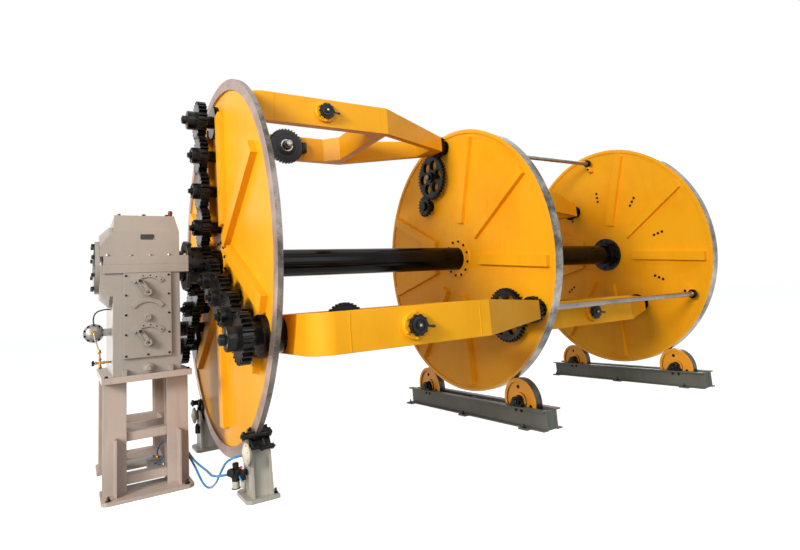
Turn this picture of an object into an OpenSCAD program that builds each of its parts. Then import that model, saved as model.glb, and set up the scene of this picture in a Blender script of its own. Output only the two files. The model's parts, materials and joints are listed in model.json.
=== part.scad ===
// Cable stranding line: a back-twist cage of three discs on one shaft, five bobbin cradles,
// a change gearbox on a stand, two rim brakes and two roller beams.
// Millimetres, +Z up, +X from the gearbox to the last disc, floor at Z = 0.

/* [Cage] */
// Clear height of the brake ring above the floor
ring_floor_gap = 90; // [60:2:120]
// Distance between neighbouring discs
disc_pitch = 2060; // [2000:10:2200]
// Distance from the cradle shafts to the edge of the brake ring
ring_edge = 210; // [200:2:230]
// Radial width of the brake ring
brake_ring_width = 66; // [50:2:90]
// Thickness of the brake ring
brake_ring_thick = 16; // [12:1:20]
// How much smaller the rolling rims are than the brake ring
rim_step = 104; // [100:1:120]
// Width of the rolling rims along the axis
rim_width = 76; // [70:1:84]
// Radial thickness of the rolling rims
rim_thick = 20; // [16:1:28]
// Thickness of the disc plates
disc_plate = 14; // [10:1:20]
// How far the plates of discs 2 and 3 lie behind the rim edge
disc_recess = 10; // [8:1:16]
// Width of a stiffening rib
rib_width = 84; // [60:2:100]
// Height of a stiffening rib above its plate
rib_height = 40; // [25:1:44]
// Wall of the main shaft
shaft_wall = 30; // [20:1:40]
// Length of shaft that stands out behind disc 3
shaft_tail = 110; // [80:5:200]

/* [Cradles] */
// Pitch radius of the three cradles between discs 1 and 2
pitch_radius_1 = 1040; // [1030:1:1050]
// Angle of the top cradle, counted from the far side upwards
cradle_angle = 87; // [80:1:95]
// Half the width of a cradle over its side beams
cradle_half = 460; // [440:5:480]
// Depth of the side beams
cradle_depth = 206; // [180:2:220]
// Wall of the side beams, end beam and cross beam
cradle_wall = 60; // [40:2:80]
// Gap from the disc plate to the end beam
cradle_start = 82; // [80:1:100]
// Distance from the front face of a disc to the bend of the side beams
cradle_bend = 1195; // [1150:5:1220]
// Distance from the front face of a disc to the pintle axis
pintle_place = 670; // [640:5:690]
// Half the width of the cradle nose
nose_half = 95; // [80:1:110]
// Depth of the cradle nose
nose_depth = 132; // [100:2:150]
// Radius of the cradle shafts
spindle_radius = 45; // [40:1:50]
// Radius of the toothed bobbin brake wheel
brake_wheel_radius = 140; // [120:2:150]
// Radius of the bobbin handwheel
handwheel_radius = 52; // [44:1:60]
// How far the handwheel stands out of the side beam
handwheel_reach = 58; // [40:1:62]

/* [Gears] */
// Teeth of each gear in the trains on disc 1, a multiple of six
train_teeth = 24; // [24:6:30]
// Face width of the train gears
train_face = 56; // [40:2:60]
// Teeth of the nose gears and cradle gears on disc 2
small_teeth = 18; // [18:2:20]
// Teeth of the transfer gears on disc 2
transfer_teeth = 40; // [40:2:44]
// How much the reach of the gears on disc 2 is longer than half the pitch radius
transfer_slack = 60; // [50:1:70]
// Face width of the gears on disc 2
transfer_face = 36; // [30:2:40]
// Radius of the fixed studs that carry the idlers
stud_radius = 25; // [20:1:28]

/* [Gearbox] */
// Width of the lower housing along the axis
box_width = 370; // [350:5:390]
// Depth of the housing across the axis
box_depth = 800; // [700:10:850]
// Distance from the axis to the front face of the housing
box_front = 165; // [160:1:180]
// Height of the housing foot below the axis
box_drop = 655; // [640:5:670]
// Height of the roof above the axis
box_rise = 312; // [290:2:330]
// Height of the eaves above the axis
box_eaves = 206; // [196:2:220]
// Clear distance from disc 1 to the split flange
box_gap = 230; // [226:1:250]
// How far the split flange stands out of the housing
flange_lip = 52; // [40:1:60]
// Half the height of the split flange
flange_half = 52; // [40:1:60]
// Wall of the fixed sleeve that carries the sun gear
sleeve_wall = 20; // [15:1:22]
// Distance from the bore of the sun gear to its pitch circle
sun_wall = 24; // [22:1:28]
// Radius of the shift levers' quadrants
quadrant_radius = 118; // [100:1:125]
// Length of a shift lever from pivot to knob
lever_length = 104; // [90:1:110]
// Rest angle of a shift lever from upright
lever_rest = 33; // [20:1:40]

/* [Stand and brakes] */
// Width of the legs
leg_width = 122; // [100:2:130]
// Thickness of leg flanges, webs and gussets
leg_plate = 12; // [8:1:16]
// Thickness of the stand's top plate
top_plate = 36; // [25:1:45]
// Thickness of the base plates
base_plate = 20; // [12:1:25]
// Angle of the near brake, counted from the far side upwards
brake_angle = 237; // [234:1:240]
// Width of the brake posts along the axis
brake_post = 115; // [100:1:120]

/* [Roller beams] */
// Radius of the support rollers
roller_radius = 170; // [160:1:172]
// Tread width of the support rollers
roller_width = 64; // [50:1:70]
// Clear height of the rollers above the floor
roller_floor_gap = 8; // [7:1:20]
// Height of the beams
beam_height = 145; // [130:1:150]
// Length of the beams
beam_length = 1800; // [1700:10:1900]
// Flange width of the beam channels
beam_flange = 50; // [44:1:60]

/* [Clearances] */
// Running clearance of a shaft in its bore
run_clear = 0.05; // [0.02:0.01:0.09]
// Clearance between the roller treads and the rims
roll_clear = 0.3; // [0.3:0.1:1]
// Clearance between brake pads and brake ring
pad_clear = 6; // [5:1:8]
// Clearance between the main shaft and fixed sleeves
shaft_clear = 6; // [5:1:8]
// Clearance between a cradle shaft and the hole in a disc plate
plate_clear = 6; // [5:1:8]

/* [Hidden] */
$fn = 64;
bite = 1;

// Paint and metal colours
yellow = [0.98, 0.68, 0.12];
grey = [0.72, 0.68, 0.62];
black = [0.10, 0.10, 0.11];
steel = [0.62, 0.60, 0.58];
white = [0.88, 0.86, 0.82];
blue = [0.15, 0.50, 0.80];

// Radii that follow from the pitch radius of the cradles
train_radius = pitch_radius_1 / 8;
shaft_radius = train_radius - sun_wall - shaft_clear;
shaft_bore = shaft_radius - shaft_wall;
sleeve_radius = shaft_radius + shaft_clear + sleeve_wall;
brake_ring_radius = pitch_radius_1 + ring_edge;
rim_radius = brake_ring_radius - rim_step;
axis_height = brake_ring_radius + ring_floor_gap;

// Places along the axis, from the front face of the brake ring
x_disc_1 = 0;
x_disc_2 = disc_pitch;
x_disc_3 = 2 * disc_pitch;
x_plate_1 = x_disc_1 + brake_ring_thick;
x_back_1 = x_plate_1 + disc_plate;
x_shaft_end = x_disc_3 + rim_width + shaft_tail;
x_flange_right = -box_gap;
x_box_right = x_flange_right - flange_lip;
x_box_left = x_box_right - box_width;
x_flange_left = x_box_left - flange_lip;
x_shaft_start = x_flange_left + 70;
cap_thick = 24;
cap_radius = 162;
actuator_radius = 56;
actuator_reach = 94;
actuator_x = x_box_left - actuator_reach;
x_machine_left = actuator_x - actuator_radius;

// Cradle places around the axis
angle_a = cradle_angle;
angle_b = cradle_angle + 120;
angle_c = cradle_angle + 240;
angle_d = cradle_angle - 30;
angle_e = angle_b + 30;
reach_along = pitch_radius_1 * cos(30);
reach_across = pitch_radius_1 * sin(30);
transfer_reach = reach_across + transfer_slack;
transfer_module = transfer_reach / (small_teeth + transfer_teeth);
pitch_radius_2 = reach_along - sqrt(transfer_reach * transfer_reach - reach_across * reach_across);
cradle_shift = 40;
pintle_radius = 30;
spindle_seat = 40;
nose_seat = 60;

// The box around the machine, for the origin under its centre
y_near = pitch_radius_1 * cos(angle_b) - cradle_half - handwheel_reach;
y_far = pitch_radius_1 * cos(angle_c) + cradle_half;
mid_x = (x_machine_left + x_shaft_end) / 2;
mid_y = (y_near + y_far) / 2;

// Gears on disc 1
train_module = 2 * train_radius / train_teeth;
train_back = -70;
train_front = train_back - train_face;
hub_front = train_front - 34;
planet_front = train_front - 56;
cap_front = -box_gap + 14;

// Gears on disc 2
transfer_back = x_disc_2 - rib_height + disc_recess - 8;
transfer_front = transfer_back - transfer_face;
transfer_radius = transfer_module * transfer_teeth / 2;
nose_end = transfer_front - 16;
nose_spindle = 40;
tube_radius = 21;

// Tooth height as shares of the module, and tooth half widths as shares of the tooth pitch
tip_share = 0.8;
root_share = 1.1;
tooth_root = 0.24;
tooth_tip = 0.11;

// Rollers
roller_height = roller_radius + roller_floor_gap;
roller_reach = rim_radius + roller_radius + roll_clear;
roller_drop = axis_height - roller_height;
roller_y = sqrt(roller_reach * roller_reach - roller_drop * roller_drop);
axle_radius = 20;
channel_gap = 45;
channel_web = 8;
channel_flange_thick = 10;

// Stand
leg_inset = 55;
bar_height = 50;
bar_inset = 20;
foot_reach = 140;
foot_hole = 11;
z_plate = axis_height - box_drop - top_plate;
y_box_back = box_depth - box_front;
y_box_mid = y_box_back - box_depth / 2;
x_plate_left = x_flange_left - 8;
x_plate_right = x_flange_right + 4;
legs_x = [x_flange_left + 5, x_flange_right - 5 - leg_width];
legs_y = [leg_inset - box_front, y_box_back - leg_width];
bar_floors = [base_plate + 37, z_plate / 2 - 27];

// Gearbox
flange_over = 14;
boss_radius = 250;
boss_reach = 18;
boss_back = 300;
boss_cone = 52;
shaft_room = 60;
cover_thick = 18;
pivot_x = (x_box_left + x_box_right) / 2;
pivot_drops = [175, 325, 475];
pivot_radius = 14;
quadrant_thick = 8;

// Brakes
post_left = -30;
post_right = post_left + brake_post;
seat_radius = brake_ring_radius + 52;
seat_gap = 0.02;
jaw_half = 48;
jaw_depth = 62;
jaw_bridge = 10;
y_brake = brake_ring_radius * cos(brake_angle);
post_flange = 14;
crown_radius = 74;
crown_place = [0, y_brake, 210 - axis_height];
chamber_place = crown_place + [0, -64, 33];
chamber_reach = 26;
regulator_left = post_left - 84;
regulator_right = post_left - 32;

// Air hoses, with their route points in millimetres above the floor
hose_radius = 6;
hose_sides = 8;
// A direction that neither hose ever runs along
hose_aside = [1, 1, 0];
manifold_right = legs_x[1] + bar_inset;
manifold_front = 265;
manifold_floor = 31;
manifold_top = manifold_floor + 58;
inlet_floor = 140;
hose_main_route = [[-365, 300, manifold_top], [-365, 300, 122], [-359, 293.5, 155], [-342.5, 276, 179],
    [-320, 252, 188], [-297, 227, 188], [-276, 199, 184], [-257, 165, 177], [-242, 124, 169],
    [-230, 78, 161], [-223, 25, 154], [-220, -35, 147], [-218, -100, 140], [-214, -170, 132],
    [-207, -245, 126], [-201, -320, 124], [-198, -385, 125], [-198, -440, 129], [-200, -490, 133],
    [-202, -530, 136], [-201.5, -562, 138], [-205, -593.5, inlet_floor], [-195, -628.5, inlet_floor],
    [-172.5, -650.5, inlet_floor], [-137, y_brake + 20, inlet_floor],
    [regulator_left, y_brake + 20, inlet_floor]];
chamber_floor = chamber_place[2] + axis_height;
hose_branch_route = [[-385, manifold_front, 58], [-385, 230, 58], [-382, 198, 67], [-371, 168, 90],
    [-350, 144, 118], [-322, 122, 137], [-291, 98, 142], [-262, 72, 140], [-238, 42, 136],
    [-222, 5, 128], [-216, -45, 118], [-212, -100, 105], [-206, -155, 85], [-200, -205, 60],
    [-193, -252, 36], [-186, -297, 18], [-179, -344, 12], [-173, -393, 18], [-168, -442, 34],
    [-165, -492, 57], [-163, -542, 86], [-162, -587, 118], [-160, -625, 147], [-157.5, -653, 170],
    [-154.5, -676.5, 189], [-152.5, -697.5, 205.5], [-142.5, -721.5, 224.5], [-118.5, -739, 238.5],
    [post_left - chamber_reach - 32, chamber_place[1], chamber_floor],
    [post_left - chamber_reach, chamber_place[1], chamber_floor]];

function gear_points(teeth, tip, root) = [
    for (i = [0 : teeth - 1])
        for (k = [0 : 3])
            let (share = [-tooth_root, -tooth_tip, tooth_tip, tooth_root][k])
            let (r = k == 0 || k == 3 ? root : tip)
            let (a = 360 / teeth * (i + share))
            [r * cos(a), r * sin(a)]];

function spot(radius, angle) = [0, radius * cos(angle), radius * sin(angle)];

module on_axis() translate([-mid_x, -mid_y, axis_height]) children();

module on_floor() translate([-mid_x, -mid_y, 0]) children();

module rod_x(x0, x1, r) translate([x0, 0, 0]) rotate([0, 90, 0]) cylinder(r = r, h = x1 - x0);

module rod_y(y0, y1, r) translate([0, y0, 0]) rotate([-90, 0, 0]) cylinder(r = r, h = y1 - y0);

module block(x0, x1, y0, y1, z0, z1) translate([x0, y0, z0]) cube([x1 - x0, y1 - y0, z1 - z0]);

// A flat outline in Y and Z, made thick from x0 to x1
module slab_x(x0, x1) translate([x0, 0, 0]) rotate([90, 0, 90]) linear_extrude(height = x1 - x0) children();

// A flat outline in X and Z, made thick from y0 to y1
module slab_y(y0, y1) translate([0, y1, 0]) rotate([90, 0, 0]) linear_extrude(height = y1 - y0) children();

module ring_x(x0, x1, outer, inner) {
    difference() {
        rod_x(x0, x1, outer);
        rod_x(x0 - bite, x1 + bite, inner);
    }
}

// A gear with a tooth or a gap towards the given angle
module gear(x0, x1, teeth, mod, angle, gap, bore) {
    pitch = mod * teeth / 2;
    tip = pitch + tip_share * mod;
    root = pitch - root_share * mod;
    turn = gap ? angle + 180 / teeth : angle;
    difference() {
        slab_x(x0, x1) rotate(turn) polygon(gear_points(teeth, tip, root));
        rod_x(x0 - bite, x1 + bite, bore);
    }
}

// Gearbox, stand and levers

module gearbox_stand() {
    plate_over = 50;
    web = (leg_width - leg_plate) / 2;
    gusset_reach = 90;
    gusset_top = 330;
    color(grey) on_floor() {
        difference() {
            block(x_plate_left, x_plate_right, -box_front - plate_over, y_box_back + plate_over,
                z_plate, z_plate + top_plate);
            block(pivot_x - box_width / 3, pivot_x + box_width / 3, y_box_mid - box_depth / 3,
                y_box_mid + box_depth / 3, z_plate - bite, z_plate + top_plate + bite);
        }
        for (x = legs_x)
            for (y = legs_y) {
                block(x, x + leg_width, y, y + leg_plate, base_plate, z_plate);
                block(x, x + leg_width, y + leg_width - leg_plate, y + leg_width, base_plate, z_plate);
                block(x + web, x + web + leg_plate, y + leg_plate, y + leg_width - leg_plate,
                    base_plate, z_plate);
            }
        for (y = legs_y)
            for (z = bar_floors)
                block(legs_x[0] + leg_width / 2, legs_x[1] + leg_width / 2,
                    y + bar_inset, y + leg_width - bar_inset, z, z + bar_height);
        for (x = legs_x)
            for (z = bar_floors)
                block(x + bar_inset, x + leg_width - bar_inset, legs_y[0] + leg_width, legs_y[1],
                    z, z + bar_height);
        block(legs_x[0] + leg_width / 2, legs_x[1] + leg_width / 2, y_box_mid - bar_inset,
            y_box_mid + bar_inset, bar_floors[1], bar_floors[1] + bar_height);
        for (x = legs_x)
            block(x + web, x + web + leg_plate, legs_y[0] - gusset_reach, legs_y[0], base_plate, gusset_top);
        stand_foot(legs_y[0] - foot_reach, 1);
        stand_foot(y_box_back + foot_reach, -1);
    }
}

// A base plate under two legs, drilled for anchors along its outer edge
module stand_foot(y_edge, inwards) {
    foot_depth = foot_reach + leg_width + bar_inset;
    corner = 28;
    hole_inset = 36;
    translate([0, y_edge, 0]) scale([1, inwards, 1])
        difference() {
            linear_extrude(height = base_plate)
                polygon([[x_plate_left + corner, 0], [x_plate_right - corner, 0], [x_plate_right, corner],
                    [x_plate_right, foot_depth], [x_plate_left, foot_depth], [x_plate_left, corner]]);
            for (x = [x_plate_left + hole_inset, x_plate_right - hole_inset])
                translate([x, hole_inset, -bite]) cylinder(r = foot_hole, h = base_plate + 2 * bite);
        }
}

module gearbox_housing() {
    lug_width = 24;
    lug_reach = 34;
    drain_radius = 30;
    color(grey) on_axis() {
        difference() {
            union() {
                block(x_box_left, x_box_right, -box_front, y_box_back, -box_drop, -flange_half);
                block(x_flange_left, x_flange_right, -box_front - flange_over, y_box_back + flange_over,
                    -flange_half, 0);
                for (x = [x_box_left + 2 * lug_width, x_box_right - 3 * lug_width])
                    block(x, x + lug_width, -box_front - lug_reach, -box_front,
                        -box_drop, lug_reach - box_drop);
                translate([pivot_x, 0, drain_radius - box_drop])
                    rod_y(-box_front - lug_reach, -box_front, drain_radius);
                shaft_boss(-boss_back, 0);
            }
            shaft_room();
        }
    }
}

// The rounded boss around the shaft on the outer side of the box
module shaft_boss(z0, z1) {
    intersection() {
        union() {
            rod_x(x_flange_left - boss_reach + boss_cone, x_box_left, boss_radius);
            translate([x_flange_left - boss_reach, 0, 0]) rotate([0, 90, 0])
                cylinder(r1 = boss_radius - boss_cone, r2 = boss_radius, h = boss_cone);
        }
        block(x_flange_left - boss_reach, x_box_left, -box_front, boss_back, z0, z1);
    }
}

// The blind hole that the shaft turns in
module shaft_room() rod_x(x_flange_left + shaft_room, x_flange_right + bite, shaft_radius + shaft_clear);

module gearbox_top_cover() {
    y0 = -box_front;
    roof_right = 22;
    roof_left = 8;
    roof_lean = 46;
    breather_radius = 12;
    breather_height = 40;
    color(grey) on_axis() {
        difference() {
            union() {
                block(x_flange_left, x_flange_right, y0 - flange_over, y_box_back + flange_over,
                    0, flange_half);
                intersection() {
                    slab_y(y0, y_box_back)
                        polygon([[x_box_left, flange_half], [x_box_right, flange_half],
                            [x_box_right, box_eaves], [x_box_right - roof_right, box_rise],
                            [x_box_left + roof_left, box_rise], [x_box_left, box_eaves]]);
                    slab_x(x_box_left, x_box_right)
                        polygon([[y0, flange_half], [y_box_back, flange_half], [y_box_back, box_eaves],
                            [y_box_back - roof_lean, box_rise], [y0 + roof_lean, box_rise],
                            [y0, box_eaves]]);
                }
                shaft_boss(flange_half, boss_back);
                translate([x_box_right - roof_right - breather_radius, y0 + 120, box_rise])
                    cylinder(r = breather_radius, h = breather_height);
            }
            shaft_room();
        }
    }
}

module gearbox_front_cover() {
    y0 = -box_front;
    side_inset = 52;
    foot_inset = 95;
    plug_radius = 22;
    color(grey) on_axis() {
        difference() {
            block(x_box_left + side_inset, x_box_right - side_inset, y0 - cover_thick, y0,
                foot_inset - box_drop, -flange_half - 2);
            for (i = [0, 2])
                translate([pivot_x, 0, -pivot_drops[i]])
                    rod_y(y0 - cover_thick - bite, y0 - 2, pivot_radius + run_clear);
        }
        for (drop = pivot_drops)
            translate([pivot_x, 0, -drop])
                slab_y(y0 - cover_thick - quadrant_thick, y0 - cover_thick)
                    quadrant(quadrant_radius, 13, 52);
        translate([pivot_x, 0, -pivot_drops[1]])
            rod_y(y0 - cover_thick - 2 * quadrant_thick, y0 - cover_thick, plug_radius);
    }
}

// A flat arc of the given half width, open to both sides of upright
module quadrant(radius, half, spread) {
    difference() {
        circle(r = radius);
        circle(r = radius - 2 * half);
        for (side = [-1, 1])
            polygon([[0, 0], [side * 3 * radius * sin(spread), 3 * radius * cos(spread)],
                [side * 3 * radius, 0], [side * 3 * radius, -3 * radius], [0, -3 * radius]]);
    }
}

module shift_lever(drop) {
    y0 = -box_front - cover_thick;
    face = y0 - quadrant_thick - 26;
    boss_half = 24;
    knob_radius = 15;
    knob_up = lever_length - knob_radius - 5;
    color(grey) on_axis() translate([pivot_x, 0, -drop]) rotate([0, -lever_rest, 0]) {
        rod_y(face, face + 20, boss_half);
        rod_y(face + 20, y0 + cover_thick - 4, pivot_radius);
        slab_y(face, face + 18) polygon([[-17, 0], [17, 0], [13, knob_up], [-13, knob_up]]);
        translate([0, 0, knob_up]) rod_y(face - quadrant_thick, face + 20, knob_radius);
    }
}

module lever_upper() shift_lever(pivot_drops[0]);

module lever_lower() shift_lever(pivot_drops[2]);

module bearing_caps() {
    left = x_flange_left - boss_reach;
    color(black) on_axis() {
        rod_x(left - cap_thick, left, cap_radius);
        ring_x(x_flange_right, x_flange_right + cap_thick, cap_radius, shaft_radius + shaft_clear);
    }
}

// The fixed gear that all the trains roll round, on its sleeve
module sun_gear() {
    bore = shaft_radius + shaft_clear;
    neck = train_front - 6;
    color(black) on_axis() {
        ring_x(x_flange_right + cap_thick, neck, sleeve_radius, bore);
        ring_x(neck, train_front, bore + 10, bore);
        gear(train_front, train_back, train_teeth, train_module, angle_a, false, bore);
    }
}

// The diaphragm actuator on the housing's end wall, its drum facing the near side
module shift_cylinder() {
    drum_half = 24;
    rim_half = 7;
    cover_radius = actuator_radius - 12;
    off_axis = 30;
    drop = 397;
    arm_half = 22;
    arm_depth = 14;
    color(steel) on_axis() translate([0, off_axis, -drop]) {
        translate([actuator_x, 0, 0]) {
            rod_y(-drum_half, drum_half, cover_radius);
            rod_y(-rim_half, rim_half, actuator_radius);
        }
        block(actuator_x, x_box_left, -arm_depth, arm_depth, -arm_half, arm_half);
    }
}

// Brakes on the rim of disc 1

// The height of the sloping post top at a place across the axis
function seat_z(y) = (seat_radius + seat_gap - y * cos(brake_angle)) / sin(brake_angle);

// A post's outline across the axis, drawn in from the edge of its flanges
module post_outline(inset) {
    root = 95 - inset;
    top = 55 - inset;
    polygon([[y_brake - root, base_plate - axis_height], [y_brake + root, base_plate - axis_height],
        [y_brake + top, seat_z(y_brake + top)], [y_brake - top, seat_z(y_brake - top)]]);
}

// The flange on the side of the chamber, which rises past the caliper to a round crown
module crown_outline() {
    root = 95;
    polygon([[y_brake - root, base_plate - axis_height], [y_brake + root, base_plate - axis_height],
        [y_brake + crown_radius, crown_place[2]], [y_brake - crown_radius, crown_place[2]]]);
    translate([y_brake, crown_place[2]]) circle(r = crown_radius);
}

module brake_stand() {
    foot_half = 120;
    foot_left = post_left - 36;
    foot_right = post_right + 25;
    corner = 24;
    web_inset = 22;
    hole_y = 85;
    y0 = y_brake - foot_half;
    y1 = y_brake + foot_half;
    difference() {
        union() {
            translate([0, 0, -axis_height]) linear_extrude(height = base_plate)
                polygon([[foot_left + corner, y0], [foot_right, y0], [foot_right, y1],
                    [foot_left + corner, y1], [foot_left, y1 - corner], [foot_left, y0 + corner]]);
            slab_x(post_left, post_left + post_flange) crown_outline();
            slab_x(post_right - post_flange, post_right) post_outline(0);
            slab_x(post_left + post_flange, post_right - post_flange) post_outline(web_inset);
        }
        for (side = [-1, 1])
            translate([post_right + 12, y_brake + side * hole_y, -axis_height - bite])
                cylinder(r = 8, h = base_plate + 2 * bite);
    }
}

module brake_caliper() {
    inner = brake_ring_radius - jaw_depth;
    bridge = brake_ring_radius + jaw_bridge;
    left = post_left + post_flange + seat_gap;
    rotate([brake_angle, 0, 0]) {
        block(left, post_right, bridge, seat_radius, -jaw_half, jaw_half);
        block(left, x_disc_1 - pad_clear, inner, bridge, -jaw_half, jaw_half);
        block(x_back_1 + pad_clear, post_right, inner, bridge, -jaw_half, jaw_half);
    }
}

module brake_chamber() {
    neck = chamber_reach / 2;
    translate(chamber_place) {
        rod_x(post_left - neck, post_left, 36);
        rod_x(post_left - chamber_reach, post_left - neck, 56);
    }
}

module to_far() mirror([0, 1, 0]) children();

module brake_stand_near() color(grey) on_axis() brake_stand();

module brake_stand_far() color(grey) on_axis() to_far() brake_stand();

module brake_caliper_near() color(black) on_axis() brake_caliper();

module brake_caliper_far() color(black) on_axis() to_far() brake_caliper();

module brake_chamber_near() color(white) on_axis() brake_chamber();

module brake_chamber_far() color(white) on_axis() to_far() brake_chamber();

// A filter and regulator on a bracket, with its bowl below and its knob on top
module air_regulator() {
    middle = (regulator_left + regulator_right) / 2;
    body_floor = inlet_floor - 22;
    body_top = inlet_floor + 22;
    y_bowl = y_brake + 20;
    color(black) on_floor() {
        block(regulator_left, regulator_right, y_bowl - 26, y_bowl + 26, body_floor, body_top);
        block(regulator_right, post_left, y_bowl - 12, y_bowl + 12, body_floor, body_top - 14);
        translate([middle, y_bowl, body_floor - 60]) cylinder(r = 19, h = 60);
        translate([middle, y_bowl, body_top]) cylinder(r = 16, h = 24);
    }
}

// Roller beams and rollers

module roller_beam(x_rim) {
    end_tie = 20;
    tie_half = 5;
    near_foot = 170;
    far_foot = 60;
    color(grey) on_floor() translate([x_rim + rim_width / 2, 0, 0]) {
        for (side = [-1, 1])
            translate([0, beam_length / 2, 0]) rotate([90, 0, 0]) linear_extrude(height = beam_length)
                scale([side, 1]) channel_outline();
        for (y = [end_tie - beam_length / 2, 0, beam_length / 2 - end_tie])
            block(-channel_gap, channel_gap, y - tie_half, y + tie_half,
                0, beam_height - channel_flange_thick);
        for (side = [-1, 1])
            for (y = [near_foot - beam_length / 2, 0, beam_length / 2 - far_foot])
                translate([0, y, 0]) scale([side, 1, 1]) beam_foot();
    }
}

module channel_outline() {
    difference() {
        translate([channel_gap, 0]) square([beam_flange, beam_height]);
        translate([channel_gap + channel_web, channel_flange_thick])
            square([beam_flange, beam_height - 2 * channel_flange_thick]);
    }
}

// A small plate welded to the outside of a channel, drilled for one anchor
module beam_foot() {
    outer = channel_gap + beam_flange;
    foot_thick = 12;
    foot_half = 45;
    difference() {
        block(outer, outer + foot_half, -foot_half, foot_half, 0, foot_thick);
        translate([outer + 24, 0, -bite]) cylinder(r = 9, h = foot_thick + 2 * bite);
    }
}

module roller_blocks(x_rim) {
    color(black) on_floor() translate([x_rim + rim_width / 2, 0, 0])
        for (side = [-1, 1])
            for (y = [-roller_y, roller_y])
                translate([0, y, 0]) scale([side, 1, 1]) pillow_block();
}

module pillow_block() {
    near = channel_gap + 2;
    far = channel_gap + 40;
    ring = 40;
    base_half = 64;
    base_thick = 18;
    difference() {
        union() {
            block(near, far, -base_half, base_half, beam_height, beam_height + base_thick);
            translate([0, 0, roller_height]) rod_x(near, far, ring);
        }
        translate([0, 0, roller_height]) rod_x(near - bite, far + bite, axle_radius + run_clear);
        block(near - bite, far + bite, -2 * ring, 2 * ring, beam_height - 2 * ring, beam_height);
    }
}

module roller(x_rim, side) {
    dish = 12;
    tread = 26;
    hub_radius = 62;
    axle_half = channel_gap + 46;
    color(yellow) on_floor() translate([x_rim + rim_width / 2, side * roller_y, roller_height]) {
        difference() {
            rod_x(-roller_width / 2, roller_width / 2, roller_radius);
            for (face = [-1, 1])
                translate([face * roller_width / 2, 0, 0])
                    ring_x(-dish, dish, roller_radius - tread, hub_radius);
        }
        rod_x(-axle_half, axle_half, axle_radius);
    }
}

module roller_beam_2() roller_beam(x_disc_2);

module roller_beam_3() roller_beam(x_disc_3);

module roller_blocks_2() roller_blocks(x_disc_2);

module roller_blocks_3() roller_blocks(x_disc_3);

module roller_2_near() roller(x_disc_2, -1);

module roller_2_far() roller(x_disc_2, 1);

module roller_3_near() roller(x_disc_3, -1);

module roller_3_far() roller(x_disc_3, 1);

// The turning cage

module main_shaft() {
    color(black) on_axis() ring_x(x_shaft_start, x_shaft_end, shaft_radius, shaft_bore);
}

module brake_ring() {
    color(steel) on_axis()
        ring_x(x_disc_1, x_plate_1, brake_ring_radius, brake_ring_radius - brake_ring_width);
}

module disc_1() {
    rib_side = 180;
    rib_half = rib_width / 2 + 8;
    rib_start = shaft_radius + 140;
    pair_end = brake_ring_radius - 220;
    single_end = brake_ring_radius - 180;
    color(yellow) on_axis() {
        difference() {
            rod_x(x_plate_1, x_back_1, brake_ring_radius - 14);
            rod_x(x_plate_1 - bite, x_back_1 + bite, shaft_radius);
            for (a = [angle_a, angle_b, angle_c])
                translate(spot(pitch_radius_1, a))
                    rod_x(x_plate_1 - bite, x_back_1 + bite, spindle_radius + plate_clear);
        }
        for (a = [angle_a, angle_b, angle_c]) {
            for (side = [-rib_side, rib_side])
                rotate([a, 0, 0])
                    block(x_plate_1 - rib_height, x_plate_1, rib_start, pair_end,
                        side - rib_half, side + rib_half);
            rotate([a + 60, 0, 0])
                block(x_plate_1 - rib_height, x_plate_1, rib_start, single_end, -rib_half, rib_half);
        }
    }
}

// A plate with a lip for the rim, its bores, and ribs where no gear or cradle lies
module rolling_disc(x_rim, bore_spots) {
    x0 = x_rim + disc_recess;
    inner = rim_radius - rim_thick;
    lip = 14;
    rib_start = shaft_radius + 225;
    rib_end = inner - 44;
    color(yellow) on_axis() {
        difference() {
            rod_x(x0, x0 + disc_plate, inner);
            rod_x(x0 - bite, x0 + disc_plate + bite, shaft_radius);
            for (bore = bore_spots)
                translate(spot(bore[0], bore[1]))
                    rod_x(x0 - bite, x0 + disc_plate + bite, bore[2] + plate_clear);
        }
        ring_x(x_rim, x_rim + rim_width, inner, inner - lip);
        for (turn = [0, 1, 2, 4, 5, 6, 7])
            rotate([angle_a + 20 + 40 * turn, 0, 0])
                block(x0 - rib_height, x0, rib_start, rib_end, -rib_width / 2, rib_width / 2);
    }
}

module rim(x_rim) {
    color(steel) on_axis() ring_x(x_rim, x_rim + rim_width, rim_radius, rim_radius - rim_thick);
}

module rim_2() rim(x_disc_2);

module rim_3() rim(x_disc_3);

module disc_2() {
    noses = [for (a = [angle_a, angle_b, angle_c]) [pitch_radius_1, a, nose_spindle]];
    spindles = [for (a = [angle_d, angle_e]) [pitch_radius_2, a, spindle_radius]];
    rolling_disc(x_disc_2, concat(noses, spindles));
}

module disc_3() {
    noses = [for (a = [angle_d, angle_e]) [pitch_radius_2, a, nose_spindle]];
    rolling_disc(x_disc_3, noses);
}

module hub_flange() {
    flange_radius = shaft_radius + 75;
    flange_thick = 26;
    neck_radius = shaft_radius + 30;
    neck_front = x_disc_3 - 80;
    front = x_disc_3 + disc_recess;
    back = front + disc_plate;
    color(black) on_axis() {
        ring_x(front - flange_thick, front, flange_radius, shaft_radius);
        ring_x(neck_front, front - flange_thick, neck_radius, shaft_radius);
        ring_x(back, back + flange_thick, flange_radius, shaft_radius);
    }
}

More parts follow.
